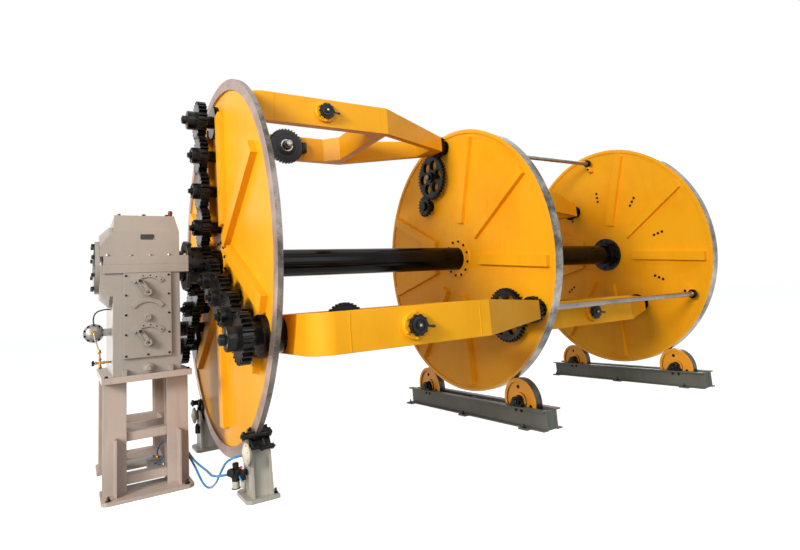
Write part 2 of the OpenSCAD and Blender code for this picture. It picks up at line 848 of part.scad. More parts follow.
// Flanged bearings for the cradle shafts, the larger ones where a cradle is driven
module disc_bearings() {
    flange_thick = 34;
    nose_thick = 12;
    nose_flange = nose_spindle + 26;
    x_front_2 = x_disc_2 + disc_recess;
    x_front_3 = x_disc_3 + disc_recess;
    x_back_2 = x_front_2 + disc_plate;
    color(black) on_axis() {
        for (a = [angle_a, angle_b, angle_c])
            translate(spot(pitch_radius_1, a)) {
                ring_x(x_plate_1 - flange_thick, x_plate_1, 116, spindle_radius + run_clear);
                ring_x(x_front_2 - nose_thick, x_front_2, nose_flange, nose_spindle + run_clear);
            }
        for (a = [angle_d, angle_e])
            translate(spot(pitch_radius_2, a)) {
                ring_x(x_back_2, x_back_2 + flange_thick, 110, spindle_radius + run_clear);
                ring_x(x_front_3 - nose_thick, x_front_3, nose_flange, nose_spindle + run_clear);
            }
    }
}

module gear_studs() {
    collar = stud_radius + 14;
    collar_gap = 6;
    color(steel) on_axis() {
        for (a = [angle_a, angle_b, angle_c])
            for (k = [1, 2, 3])
                translate(spot(2 * train_radius * k, a)) {
                    rod_x(hub_front - 14, x_plate_1, stud_radius);
                    rod_x(train_back + collar_gap, x_plate_1, collar);
                }
        for (i = [0, 1])
            translate(transfer_spot(i)) {
                rod_x(transfer_front - 34, x_disc_2 + disc_recess, stud_radius);
                rod_x(transfer_back + collar_gap, x_disc_2 + disc_recess, collar);
            }
    }
}

// Tubes that lead the strands of the first three cradles past the last two
module guide_tubes() {
    bore = 15;
    start = x_disc_2 + disc_recess + disc_plate;
    end = x_disc_3 - 50;
    clamp = 16;
    clamp_half = 14;
    clamp_drop = 95;
    color(steel) on_axis()
        for (a = [angle_a, angle_b, angle_c])
            translate(spot(pitch_radius_1, a)) {
                ring_x(start, end, tube_radius, bore);
                ring_x(start, start + 30, 48, bore);
                ring_x(end - clamp, end, 40, bore);
                rotate([a, 0, 0]) {
                    block(end - clamp, end, -clamp_drop, -30, -clamp_half, clamp_half);
                    block(end, x_disc_3 + disc_recess, -clamp_drop, -45, -clamp_half, clamp_half);
                }
            }
}

// Cradles and their fittings, told apart by the disc they start at

function start_of(second) = second ? x_disc_2 + cradle_shift : x_disc_1;

function nose_of(second) = second ? nose_end + disc_pitch : nose_end;

module cradle(second, radius, angle) {
    x0 = start_of(second) + cradle_start + x_back_1;
    bend = start_of(second) + cradle_bend;
    nose = nose_of(second);
    inner = cradle_half - cradle_wall;
    corner = 70;
    fillet = 110;
    bay_end = bend - cradle_wall;
    vee_start = bend + 6;
    vee_end = nose - 150;
    vee_half = inner - (cradle_half - nose_half) / (nose - bend) * (vee_end - vee_start);
    color(yellow) on_axis() translate(spot(radius, angle)) {
        difference() {
            intersection() {
                translate([0, 0, -cradle_depth / 2]) linear_extrude(height = cradle_depth) difference() {
                    polygon([[x0, corner - cradle_half], [x0 + corner, -cradle_half], [bend, -cradle_half],
                        [nose, -nose_half], [nose, nose_half], [bend, cradle_half],
                        [x0 + corner, cradle_half], [x0, cradle_half - corner]]);
                    polygon([[x0 + cradle_wall, -inner], [bay_end - fillet, -inner],
                        [bay_end, fillet - inner], [bay_end, inner - fillet],
                        [bay_end - fillet, inner], [x0 + cradle_wall, inner]]);
                    polygon([[vee_start, -inner], [vee_end, -vee_half], [vee_end, vee_half],
                        [vee_start, inner]]);
                }
                slab_y(-cradle_half - bite, cradle_half + bite)
                    polygon([[x0, -cradle_depth / 2], [bend, -cradle_depth / 2], [nose, -nose_depth / 2],
                        [nose, nose_depth / 2], [bend, cradle_depth / 2], [x0, cradle_depth / 2]]);
            }
            translate([start_of(second) + pintle_place, 0, 0])
                rod_y(-cradle_half - bite, cradle_half + bite, pintle_radius);
            rod_x(x0 - bite, x0 + spindle_seat, spindle_radius);
            rod_x(nose - nose_seat, nose + bite, nose_spindle);
        }
    }
}

module fittings(second, radius, angle, geared) {
    x0 = start_of(second) + cradle_start + x_back_1;
    nose = nose_of(second);
    inner = cradle_half - cradle_wall;
    nose_stop = (second ? x_disc_3 : x_disc_2) + disc_recess;
    spindle_front = second ? transfer_front - 20 : train_front;
    collar = 96;
    wheel_back = -cradle_half - handwheel_reach + 22;
    color(black) on_axis() translate(spot(radius, angle)) {
        rod_x(spindle_front, x0 + spindle_seat, spindle_radius);
        ring_x(x0 - 40, x0, collar, spindle_radius);
        rod_x(nose - nose_seat, nose_stop, nose_spindle);
        ring_x(nose, nose + 10, collar, nose_spindle);
        if (!second) {
            gear(train_front, train_back, train_teeth, train_module, angle, false, spindle_radius);
            rod_x(planet_front, train_front, 66);
            rod_x(cap_front, planet_front, 30);
        }
        if (geared)
            gear(transfer_front, transfer_back, small_teeth, transfer_module, transfer_angle(angle), false,
                second ? spindle_radius : nose_spindle);
        translate([start_of(second) + pintle_place, 0, 0]) {
            rod_y(wheel_back, 60 - inner, pintle_radius);
            rod_y(-cradle_half - 14, -cradle_half, 74);
            rod_y(-cradle_half - handwheel_reach, wheel_back, handwheel_radius);
            rod_y(inner - 120, cradle_half, pintle_radius);
            rod_y(inner - 46, inner, brake_wheel_radius);
        }
    }
}

// The line of centres from a nose gear of section 1 to its cradle gear in section 2
line_a = spot(pitch_radius_2, angle_d) - spot(pitch_radius_1, angle_a);
line_b = spot(pitch_radius_2, angle_e) - spot(pitch_radius_1, angle_b);

function transfer_angle(angle) =
    angle == angle_a || angle == angle_d ? atan2(line_a[2], line_a[1]) : atan2(line_b[2], line_b[1]);

function transfer_spot(i) = i == 0
    ? spot(pitch_radius_1, angle_a) + line_a / 2
    : spot(pitch_radius_1, angle_b) + line_b / 2;

module cradle_a() cradle(false, pitch_radius_1, angle_a);

module cradle_b() cradle(false, pitch_radius_1, angle_b);

module cradle_c() cradle(false, pitch_radius_1, angle_c);

module cradle_d() cradle(true, pitch_radius_2, angle_d);

module cradle_e() cradle(true, pitch_radius_2, angle_e);

module fittings_a() fittings(false, pitch_radius_1, angle_a, true);

module fittings_b() fittings(false, pitch_radius_1, angle_b, true);

module fittings_c() fittings(false, pitch_radius_1, angle_c, false);

module fittings_d() fittings(true, pitch_radius_2, angle_d, true);

module fittings_e() fittings(true, pitch_radius_2, angle_e, true);

// Idlers of the trains on disc 1, and the transfer gears on disc 2

module idler(angle, k) {
    color(black) on_axis() translate(spot(2 * train_radius * k, angle)) {
        gear(train_front, train_back, train_teeth, train_module, angle, k != 2, stud_radius + run_clear);
        ring_x(hub_front, train_front, 56, stud_radius + run_clear);
    }
}

module transfer_gear(i, angle) {
    bore = stud_radius + run_clear;
    color(black) on_axis() translate(transfer_spot(i)) {
        difference() {
            gear(transfer_front, transfer_back, transfer_teeth, transfer_module, transfer_angle(angle),
                true, bore);
            for (k = [0 : 5])
                rotate([60 * k, 0, 0]) translate([0, 0.59 * transfer_radius, 0])
                    rod_x(transfer_front - bite, transfer_back + bite, 0.24 * transfer_radius);
        }
        ring_x(transfer_front - 22, transfer_front, 50, bore);
    }
}

module idler_a1() idler(angle_a, 1);

module idler_a2() idler(angle_a, 2);

module idler_a3() idler(angle_a, 3);

module idler_b1() idler(angle_b, 1);

module idler_b2() idler(angle_b, 2);

module idler_b3() idler(angle_b, 3);

module idler_c1() idler(angle_c, 1);

module idler_c2() idler(angle_c, 2);

module idler_c3() idler(angle_c, 3);

module transfer_a() transfer_gear(0, angle_a);

module transfer_b() transfer_gear(1, angle_b);

// The valve block on the stand's rear bar, where the air hoses start
module air_manifold() {
    color(steel) on_floor()
        block(manifold_right - 91, manifold_right, manifold_front, manifold_front + 70,
            manifold_floor, manifold_top);
}

// Air hoses swept along their routes

function unit(v) = v / norm(v);

function route_point(route, t) =
    let (n = len(route) - 1)
    let (i = min(floor(t), n - 1))
    let (s = t - i)
    let (p0 = route[max(i - 1, 0)])
    let (p1 = route[i])
    let (p2 = route[i + 1])
    let (p3 = route[min(i + 2, n)])
    0.5 * (2 * p1 + s * (p2 - p0) + s * s * (2 * p0 - 5 * p1 + 4 * p2 - p3)
        + s * s * s * (3 * p1 - p0 - 3 * p2 + p3));

function hose_rings(route, steps, r, sides) =
    let (n = len(route) - 1)
    [for (i = [0 : steps])
        let (t = n * i / steps)
        let (p = route_point(route, t))
        let (q = route_point(route, min(t + 0.02, n)) - route_point(route, max(t - 0.02, 0)))
        let (along = unit(q))
        let (side = unit(cross(along, hose_aside)))
        let (up = cross(side, along))
        [for (k = [0 : sides - 1]) p + r * (cos(360 * k / sides) * side + sin(360 * k / sides) * up)]];

module hose(route) {
    steps = 2 * (len(route) - 1);
    rings = hose_rings(route, steps, hose_radius, hose_sides);
    points = [for (ring = rings) for (p = ring) p];
    walls = [for (i = [0 : steps - 1]) for (k = [0 : hose_sides - 1])
        let (k2 = (k + 1) % hose_sides)
        [i * hose_sides + k, (i + 1) * hose_sides + k, (i + 1) * hose_sides + k2, i * hose_sides + k2]];
    start = [for (k = [0 : hose_sides - 1]) k];
    finish = [for (k = [hose_sides - 1 : -1 : 0]) steps * hose_sides + k];
    color(blue) on_floor() polyhedron(points = points, faces = concat(walls, [start, finish]));
}

module air_hose_main() hose(hose_main_route);

module air_hose_branch() hose(hose_branch_route);

gearbox_stand();
gearbox_housing();
gearbox_top_cover();
gearbox_front_cover();
bearing_caps();
sun_gear();
shift_cylinder();
lever_upper();
lever_lower();
brake_stand_near();
brake_stand_far();
brake_caliper_near();
brake_caliper_far();
brake_chamber_near();
brake_chamber_far();
air_regulator();
roller_beam_2();
roller_beam_3();
roller_blocks_2();
roller_blocks_3();
roller_2_near();
roller_2_far();
roller_3_near();
roller_3_far();
main_shaft();
disc_1();
brake_ring();
disc_2();
rim_2();
disc_3();
rim_3();
hub_flange();
disc_bearings();
gear_studs();
guide_tubes();
cradle_a();
cradle_b();
cradle_c();
cradle_d();
cradle_e();
fittings_a();
fittings_b();
fittings_c();
fittings_d();
fittings_e();
idler_a1();
idler_a2();
idler_a3();
idler_b1();
idler_b2();
idler_b3();
idler_c1();
idler_c2();
idler_c3();
transfer_a();
transfer_b();
air_manifold();
air_hose_main();
air_hose_branch();
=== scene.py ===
"""Looks of a cable stranding line: its finishes, fasteners, small fittings and air hoses.

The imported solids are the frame. Places are written in millimetres from the cage axis, as on the
machine's drawing, and the Datum turns them to metres in the part's own frame.
"""

import json
import logging
import math
from collections.abc import Callable, Iterator, Sequence
from contextlib import contextmanager
from dataclasses import dataclass
from enum import Enum

import bmesh
import bpy
from bpy.types import Curve, Material, Node, NodeSocket, NodeTree, Object, World
from mathutils import Matrix, Vector

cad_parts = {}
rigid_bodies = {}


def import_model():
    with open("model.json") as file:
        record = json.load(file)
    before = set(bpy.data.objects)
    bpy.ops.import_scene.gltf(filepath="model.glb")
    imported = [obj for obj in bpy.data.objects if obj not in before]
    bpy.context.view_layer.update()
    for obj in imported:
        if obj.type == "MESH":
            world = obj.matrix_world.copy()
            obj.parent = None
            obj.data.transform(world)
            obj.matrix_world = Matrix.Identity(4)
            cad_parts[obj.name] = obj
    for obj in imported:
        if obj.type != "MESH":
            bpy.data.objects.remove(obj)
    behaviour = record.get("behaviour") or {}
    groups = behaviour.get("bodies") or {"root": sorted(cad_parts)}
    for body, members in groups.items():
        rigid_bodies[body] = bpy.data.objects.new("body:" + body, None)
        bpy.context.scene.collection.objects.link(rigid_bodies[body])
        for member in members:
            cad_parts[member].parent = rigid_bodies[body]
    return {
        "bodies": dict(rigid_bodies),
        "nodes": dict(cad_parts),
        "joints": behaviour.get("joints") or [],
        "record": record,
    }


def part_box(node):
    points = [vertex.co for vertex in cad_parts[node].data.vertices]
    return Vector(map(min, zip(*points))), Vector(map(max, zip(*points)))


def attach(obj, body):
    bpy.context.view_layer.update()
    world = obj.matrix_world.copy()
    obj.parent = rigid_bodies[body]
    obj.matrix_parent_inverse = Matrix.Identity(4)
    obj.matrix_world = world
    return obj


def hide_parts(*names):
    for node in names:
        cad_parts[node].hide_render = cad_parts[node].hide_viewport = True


LOG = logging.getLogger("stranding_line")
MM = 0.001
PLANT = "plant"
CAGE = "cage"
SIDES = {"near": -1, "far": 1}
TRAIN_ANGLES = {"a": 87.0, "b": 207.0, "c": 327.0}
SECOND_ANGLES = {"d": 57.0, "e": 237.0}
FIRST_RADIUS = 1040.0
SECOND_RADIUS = 643.76
SECOND_SHIFT = 40.0
DISC_PITCH = 2060.0
DISC_FRONTS = {1: 16.0, 2: DISC_PITCH + 10.0, 3: 2 * DISC_PITCH + 10.0}
ROLLER_Y = 618.39
ROLLER_Z = 178.0
UP = Vector((0, 0, 1))
NEAR = Vector((0, -1, 0))
LEFT = Vector((-1, 0, 0))
RIGHT = Vector((1, 0, 0))
Place = tuple[float, float, float]


class Slot(Enum):
    """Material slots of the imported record."""

    YELLOW = "yellow_paint"
    GREY = "grey_paint"
    STEEL = "bare_steel"
    WHITE = "white_paint"
    HOSE = "blue_hose"
    BLACK = "black_finish"


class Finish(Enum):
    """The real finishes on the machine, each with the record's slot for the pieces that have it."""

    CAGE_ENAMEL = ("cage_enamel", Slot.YELLOW)
    CRADLE_ENAMEL = ("cradle_enamel", Slot.YELLOW)
    GEARBOX_ENAMEL = ("gearbox_enamel", Slot.GREY)
    STAND_ENAMEL = ("stand_enamel", Slot.GREY)
    BEAM_ENAMEL = ("beam_enamel", Slot.GREY)
    POST_ENAMEL = ("post_enamel", Slot.GREY)
    CHAMBER_ENAMEL = ("chamber_enamel", Slot.WHITE)
    BLACKED_STEEL = ("blacked_steel", Slot.BLACK)
    SHAFT_LACQUER = ("shaft_lacquer", Slot.BLACK)
    BRAKE_TRACK = ("brake_track", Slot.STEEL)
    RIM_STEEL = ("rim_steel", Slot.STEEL)
    EDGE_STEEL = ("edge_steel", Slot.STEEL)
    POLISHED_TUBE = ("polished_tube", Slot.STEEL)
    ZINC = ("zinc_plate", Slot.STEEL)
    BRASS = ("brass", Slot.STEEL)
    COPPER = ("copper", Slot.STEEL)
    ACTUATOR_CAST = ("actuator_cast", Slot.GREY)
    NYLON = ("black_nylon", Slot.BLACK)
    RED_NYLON = ("red_nylon", Slot.BLACK)
    GLAZED_BOWL = ("bowl_plastic", Slot.WHITE)
    HOSE = ("hose_polyurethane", Slot.HOSE)
    PLATE_FOIL = ("plate_foil", Slot.BLACK)

    @property
    def slot(self) -> Slot:
        """The record's slot."""
        return self.value[1]


def linear(code: str) -> tuple[float, float, float, float]:
    """Turns an sRGB hex colour to linear light.

    Args:
        code: Six hex digits.

    Returns:
        Red, green, blue and an alpha of 1.
    """
    parts = [int(code[i:i + 2], 16) / 255 for i in (0, 2, 4)]
    red, green, blue = (p / 12.92 if p <= 0.04045 else ((p + 0.055) / 1.055) ** 2.4 for p in parts)
    return red, green, blue, 1.0


def add_node(tree: NodeTree, kind: str, inputs: dict | None = None, **settings) -> Node:
    """Adds a node, with its settings, its values and its links.

    Args:
        tree: The material's or world's node tree.
        kind: Blender's name of the node type.
        inputs: Values or output sockets by input name or number.
        **settings: Properties of the node itself.

    Returns:
        The new node.
    """
    node = tree.nodes.new(kind)
    for key, value in settings.items():
        setattr(node, key, value)
    for key, value in (inputs or {}).items():
        if isinstance(value, NodeSocket):
            tree.links.new(value, node.inputs[key])
        else:
            node.inputs[key].default_value = value
    return node


def empty_tree(owner: Material | World) -> NodeTree:
    """Gives a material or a world a node tree with nothing in it.

    Args:
        owner: The material or world.

    Returns:
        Its node tree.
    """
    owner.use_nodes = True
    owner.node_tree.nodes.clear()
    return owner.node_tree


def per_metre(size_mm: float) -> float:
    """The texture scale at which a feature is about this wide."""
    return 1.0 / (size_mm * MM)


@dataclass
class Surface:
    """A material in the making, with the steps that the finishes share."""

    material: Material
    tree: NodeTree
    shader: Node
    place: NodeSocket

    @classmethod
    def start(cls, name: str, constants: dict[str, float]) -> "Surface":
        """Makes a material with a shader, an output and the piece's own coordinates.

        Args:
            name: The material's common name.
            constants: Values that are the same all over, by the shader's socket.

        Returns:
            The surface.
        """
        material = bpy.data.materials.new(name)
        tree = empty_tree(material)
        shader = add_node(tree, "ShaderNodeBsdfPrincipled", constants)
        add_node(tree, "ShaderNodeOutputMaterial", {"Surface": shader.outputs["BSDF"]})
        return cls(material, tree, shader, add_node(tree, "ShaderNodeTexCoord").outputs["Object"])

    def feed(self, socket: str, value: NodeSocket) -> None:
        """Links a value to one of the shader's sockets."""
        self.tree.links.new(value, self.shader.inputs[socket])

    def mottle(self, size_mm: float, detail: float, roughness: float, spread: tuple[float, float],
               colours: Sequence, most: float = 1.0, gloss: tuple[float, float] | None = None,
               along: Place | None = None) -> NodeSocket:
        """Mixes two colours in soft patches, and lets the gloss follow them.

        Args:
            size_mm: About how wide a patch is.
            detail: How many finer layers the patches have.
            roughness: How much the finer layers count.
            spread: Noise values between which the second colour comes in.
            colours: Two linear colours or sockets.
            most: The second colour's largest share.
            gloss: The least and the most roughness, if it follows the patches.
            along: Share by which the patches are drawn out along each axis, if they are.

        Returns:
            The mixed colour.
        """
        place = self.place
        if along:
            place = add_node(self.tree, "ShaderNodeMapping", {"Vector": place, "Scale": along}).outputs[0]
        noise = add_node(self.tree, "ShaderNodeTexNoise",
                         {"Vector": place, "Scale": per_metre(size_mm), "Detail": detail,
                          "Roughness": roughness}).outputs[0]
        mask = add_node(self.tree, "ShaderNodeMapRange", {0: noise, 1: spread[0], 2: spread[1], 4: most})
        if gloss:
            follow = add_node(self.tree, "ShaderNodeMapRange",
                              {0: noise, 1: 0.3, 2: 0.7, 3: gloss[0], 4: gloss[1]})
            self.feed("Roughness", follow.outputs[0])
        tone = add_node(self.tree, "ShaderNodeMix", {0: mask.outputs[0], 6: colours[0], 7: colours[1]},
                        data_type="RGBA")
        return tone.outputs[2]

    def relief(self, height: NodeSocket, strength: float, depth_mm: float, edge_mm: float = 0.0) -> None:
        """Raises a fine relief and rounds the piece's edges in the light.

        Args:
            height: The relief's height.
            strength: How much of it shows.
            depth_mm: How deep it is.
            edge_mm: Radius of the rounded edges, or 0 for none.
        """
        inputs = {"Strength": strength, "Distance": depth_mm * MM, "Height": height}
        if edge_mm:
            rounded = add_node(self.tree, "ShaderNodeBevel", {"Radius": edge_mm * MM}, samples=4)
            inputs["Normal"] = rounded.outputs[0]
        self.feed("Normal", add_node(self.tree, "ShaderNodeBump", inputs).outputs[0])


@dataclass(frozen=True)
class Enamel:
    """Sprayed enamel on welded plate: one strong colour with faint clouds, runs and rounded edges."""

    name: str
    colour: str
    cloud: str
    dust: str
    roughness: float
    coat: float
    dust_share: float = 0.35
    specular: float = 0.3
    cloud_mm: float = 520.0
    run_mm: float = 38.0
    # Orange peel is finer than this, and is drawn as coarse as it needs to show.
    peel_mm: float = 7.0
    edge_mm: float = 4.0

    def build(self) -> Material:
        """Makes the material.

        Returns:
            The finished material.
        """
        surface = Surface.start(self.name, {"Specular IOR Level": self.specular, "Coat Weight": self.coat,
                                            "Coat Roughness": 0.12})
        tinted = surface.mottle(self.cloud_mm, detail=5.0, roughness=0.55, spread=(0.42, 0.72),
                                colours=(linear(self.colour), linear(self.cloud)),
                                gloss=(self.roughness - 0.05, self.roughness + 0.09))
        # Runs and wiped dust lie along the height, so this noise is drawn out along Z.
        dusty = surface.mottle(self.run_mm, detail=4.0, roughness=0.6, spread=(0.52, 0.86),
                               colours=(tinted, linear(self.dust)), most=self.dust_share,
                               along=(1.0, 1.0, 0.09))
        surface.feed("Base Color", dusty)
        peel = add_node(surface.tree, "ShaderNodeTexNoise",
                        {"Vector": surface.place, "Scale": per_metre(self.peel_mm), "Detail": 2.0})
        surface.relief(peel.outputs[0], strength=0.10, depth_mm=1.2, edge_mm=self.edge_mm)
        return surface.material


@dataclass(frozen=True)
class WorkedMetal:
    """Bare or blacked metal: a grain of tool marks, patches of oil or bloom, and rounded edges."""

    name: str
    colour: str
    patch: str
    metallic: float
    roughness: float
    patch_mm: float = 60.0
    specular: float = 0.5
    grain_mm: float = 3.0
    grain_along: Place = (1.0, 1.0, 1.0)
    grain_depth: float = 0.12
    edge_mm: float = 2.5

    def build(self) -> Material:
        """Makes the material.

        Returns:
            The finished material.
        """
        surface = Surface.start(self.name, {"Metallic": self.metallic, "Specular IOR Level": self.specular})
        tone = surface.mottle(self.patch_mm, detail=5.0, roughness=0.6, spread=(0.40, 0.68),
                              colours=(linear(self.colour), linear(self.patch)),
                              gloss=(self.roughness - 0.10, self.roughness + 0.12))
        surface.feed("Base Color", tone)
        drawn = add_node(surface.tree, "ShaderNodeMapping",
                         {"Vector": surface.place, "Scale": self.grain_along})
        grain = add_node(surface.tree, "ShaderNodeTexNoise",
                         {"Vector": drawn.outputs[0], "Scale": per_metre(self.grain_mm), "Detail": 3.0})
        surface.relief(grain.outputs[0], self.grain_depth, depth_mm=1.0, edge_mm=self.edge_mm)
        return surface.material


@dataclass(frozen=True)
class TurnedSteel:
    """A steel ring turned on a lathe: fine rings round its axis, stains, and paint on its flat sides."""

    name: str
    colour: str
    stain: str
    roughness: float
    centre: Place
    side_paint: str = ""
    # A lathe's rings are finer than this, and are drawn as coarse as they need to show.
    ring_mm: float = 5.0
    stain_mm: float = 160.0
    metallic: float = 0.7
    bare_metallic: float = 0.85

    def build(self) -> Material:
        """Makes the material.

        Returns:
            The finished material.
        """
        surface = Surface.start(self.name, {"Metallic": self.metallic})
        tree = surface.tree
        centred = add_node(tree, "ShaderNodeMapping",
                           {"Vector": surface.place, "Location": tuple(-c for c in self.centre)})
        # A wave's rings repeat every 2 pi / 20 of its scale, so this gives one ring in ring_mm.
        rings = add_node(tree, "ShaderNodeTexWave",
                         {"Vector": centred.outputs[0], "Scale": math.tau / 20 / (self.ring_mm * MM),
                          "Distortion": 1.5, "Detail": 3.0, "Detail Scale": 2.0},
                         wave_type="RINGS", rings_direction="X").outputs[1]
        tone = surface.mottle(self.stain_mm, detail=6.0, roughness=0.65, spread=(0.36, 0.70),
                              colours=(linear(self.colour), linear(self.stain)),
                              gloss=(self.roughness - 0.10, self.roughness + 0.14))
        ringed = add_node(tree, "ShaderNodeMapRange", {0: rings, 3: 0.82, 4: 1.0})
        colour = add_node(tree, "ShaderNodeMix", {0: 1.0, 6: tone, 7: ringed.outputs[0]},
                          data_type="RGBA", blend_type="MULTIPLY").outputs[2]
        if self.side_paint:
            # The spray gun also reached the ring's flat sides, which face along X.
            normal = add_node(tree, "ShaderNodeNewGeometry").outputs["Normal"]
            along = add_node(tree, "ShaderNodeSeparateXYZ", {0: normal}).outputs["X"]
            flat = add_node(tree, "ShaderNodeMath", {0: along}, operation="ABSOLUTE").outputs[0]
            paint = add_node(tree, "ShaderNodeMapRange", {0: flat, 1: 0.6, 2: 0.8}).outputs[0]
            colour = add_node(tree, "ShaderNodeMix", {0: paint, 6: colour, 7: linear(self.side_paint)},
                              data_type="RGBA").outputs[2]
            metal = add_node(tree, "ShaderNodeMapRange", {0: paint, 3: self.bare_metallic, 4: 0.0})
            surface.feed("Metallic", metal.outputs[0])
        surface.feed("Base Color", colour)
        surface.relief(rings, strength=0.10, depth_mm=0.8)
        return surface.material


@dataclass(frozen=True)
class Moulded:
    """Moulded plastic: an even colour with a fine spark-eroded grain and a few rubbed patches."""

    name: str
    colour: str
    rubbed: str
    roughness: float
    grain_mm: float = 1.5
    patch_mm: float = 25.0
    clear: float = 0.0
    specular: float = 0.5

    def build(self) -> Material:
        """Makes the material.

        Returns:
            The finished material.
        """
        surface = Surface.start(self.name, {"Roughness": self.roughness, "Transmission Weight": self.clear,
                                            "Specular IOR Level": self.specular})
        tone = surface.mottle(self.patch_mm, detail=3.0, roughness=0.5, spread=(0.45, 0.75),
                              colours=(linear(self.colour), linear(self.rubbed)))
        surface.feed("Base Color", tone)
        grain = add_node(surface.tree, "ShaderNodeTexNoise",
                         {"Vector": surface.place, "Scale": per_metre(self.grain_mm), "Detail": 2.0})
        surface.relief(grain.outputs[0], strength=0.06, depth_mm=0.5)
        return surface.material


@dataclass(frozen=True)
class Datum:
    """Turns drawing millimetres, from the cage axis at the front of the brake ring, to the part's frame."""

    x0: float
    axis_y: float
    axis_z: float

    @classmethod
    def from_frame(cls) -> "Datum":
        """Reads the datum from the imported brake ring."""
        low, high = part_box("brake_ring")
        return cls(low.x, (low.y + high.y) / 2, (low.z + high.z) / 2)

    def at(self, x: float, y: float, z: float) -> Vector:
        """A place given from the cage axis."""
        return Vector((self.x0 + x * MM, self.axis_y + y * MM, self.axis_z + z * MM))

    def polar(self, x: float, radius: float, angle: float) -> Vector:
        """A place given round the cage axis, the angle counted from the far side upwards."""
        turn = math.radians(angle)
        return self.at(x, radius * math.cos(turn), radius * math.sin(turn))

    def circle(self, x: float, radius: float, first: float, count: int) -> list[Vector]:
        """Even places round the cage axis, from a first angle on."""
        return [self.polar(x, radius, first + 360 / count * k) for k in range(count)]

    def floor(self, x: float, y: float, z: float) -> Vector:
        """A place given above the floor."""
        return Vector((self.x0 + x * MM, self.axis_y + y * MM, z * MM))


def deselect() -> None:
    """Leaves nothing selected."""
    bpy.ops.object.select_all(action="DESELECT")


def choose(*pieces: Object) -> None:
    """Selects these pieces alone and makes the first one active.

    Args:
        *pieces: The pieces to select.
    """
    deselect()
    for piece in pieces:
        piece.select_set(True)
    bpy.context.view_layer.objects.active = pieces[0]


@contextmanager
def editing(piece: Object) -> Iterator[None]:
    """Holds a piece in edit mode with nothing selected.

    Args:
        piece: The mesh to shape.
    """
    choose(piece)
    bpy.ops.object.mode_set(mode="EDIT")
    bpy.ops.mesh.select_mode(type="FACE")
    bpy.ops.mesh.select_all(action="DESELECT")
    yield
    bpy.ops.object.mode_set(mode="OBJECT")


def pick_faces(test: Callable[[Vector, Vector], bool]) -> None:
    """Selects the faces whose centre and normal pass a test.

    Args:
        test: Takes a face's centre and normal.
    """
    mesh = bmesh.from_edit_mesh(bpy.context.edit_object.data)
    for face in mesh.faces:
        face.select_set(test(face.calc_center_median(), face.normal))
    mesh.select_flush(True)
    bmesh.update_edit_mesh(bpy.context.edit_object.data)


def soften(piece: Object, width_mm: float) -> Object:
    """Rounds the edges of a piece that are sharper than 40 degrees with an applied bevel.

    Args:
        piece: The mesh to round.
        width_mm: Width of the round.

    Returns:
        The same piece.
    """
    choose(piece)
    bevel = piece.modifiers.new("soft_edges", "BEVEL")
    bevel.width = width_mm * MM
    bevel.segments = 2
    bevel.limit_method = "ANGLE"
    bevel.angle_limit = math.radians(40)
    bpy.ops.object.modifier_apply(modifier=bevel.name)
    return piece


def turned(profile: Sequence[tuple[float, float]], sides: int = 32, hollow: bool = False) -> Object:
    """Turns a round piece about +Z by extruding and resizing one loop.

    Args:
        profile: Radius and height of each step, in millimetres.
        sides: Faces round the piece.
        hollow: Whether the profile is a closed loop round a hole.

    Returns:
        The piece, at the origin.
    """
    radius, height = profile[0]
    deselect()
    bpy.ops.mesh.primitive_circle_add(vertices=sides, radius=radius * MM, location=(0, 0, height * MM),
                                      fill_type="NOTHING" if hollow else "NGON")
    bpy.ops.object.transform_apply(location=True, rotation=True, scale=True)
    piece = bpy.context.object
    with editing(piece):
        bpy.ops.mesh.select_mode(type="EDGE" if hollow else "FACE")
        bpy.ops.mesh.select_all(action="SELECT")
        for next_radius, next_height in [*profile[1:], *(profile[:1] if hollow else [])]:
            bpy.ops.mesh.extrude_region_move(
                TRANSFORM_OT_translate={"value": (0, 0, (next_height - height) * MM)})
            share = next_radius / radius
            bpy.ops.transform.resize(value=(share, share, 1), center_override=(0, 0, next_height * MM))
            radius, height = next_radius, next_height
        bpy.ops.mesh.select_all(action="SELECT")
        bpy.ops.mesh.remove_doubles(threshold=1e-6)
        bpy.ops.mesh.normals_make_consistent(inside=False)
    return piece


def block(low: Sequence[float], high: Sequence[float], round_mm: float) -> Object:
    """Makes a block with rounded edges between two corners, in millimetres about the origin.

    Args:
        low: Lowest corner.
        high: Highest corner.
        round_mm: Width of the rounded edges.

    Returns:
        The block.
    """
    deselect()
    bpy.ops.mesh.primitive_cube_add(size=1, location=[(h + l) / 2 * MM for l, h in zip(low, high)])
    piece = bpy.context.object
    piece.scale = [(h - l) * MM for l, h in zip(low, high)]
    bpy.ops.object.transform_apply(location=True, rotation=True, scale=True)
    return soften(piece, round_mm)


def rod_curve(name: str, kind: str, diameter_mm: float, resolution: int) -> Curve:
    """Starts a round rod or hose as a curve with one empty spline and closed ends.

    Args:
        name: The curve's name.
        kind: The spline's type.
        diameter_mm: Outside diameter.
        resolution: Steps in each quarter of the round.

    Returns:
        The curve.
    """
    curve = bpy.data.curves.new(name, "CURVE")
    curve.dimensions = "3D"
    curve.splines.new(kind)
    curve.bevel_depth = diameter_mm * MM / 2
    curve.bevel_resolution = resolution
    curve.use_fill_caps = True
    return curve


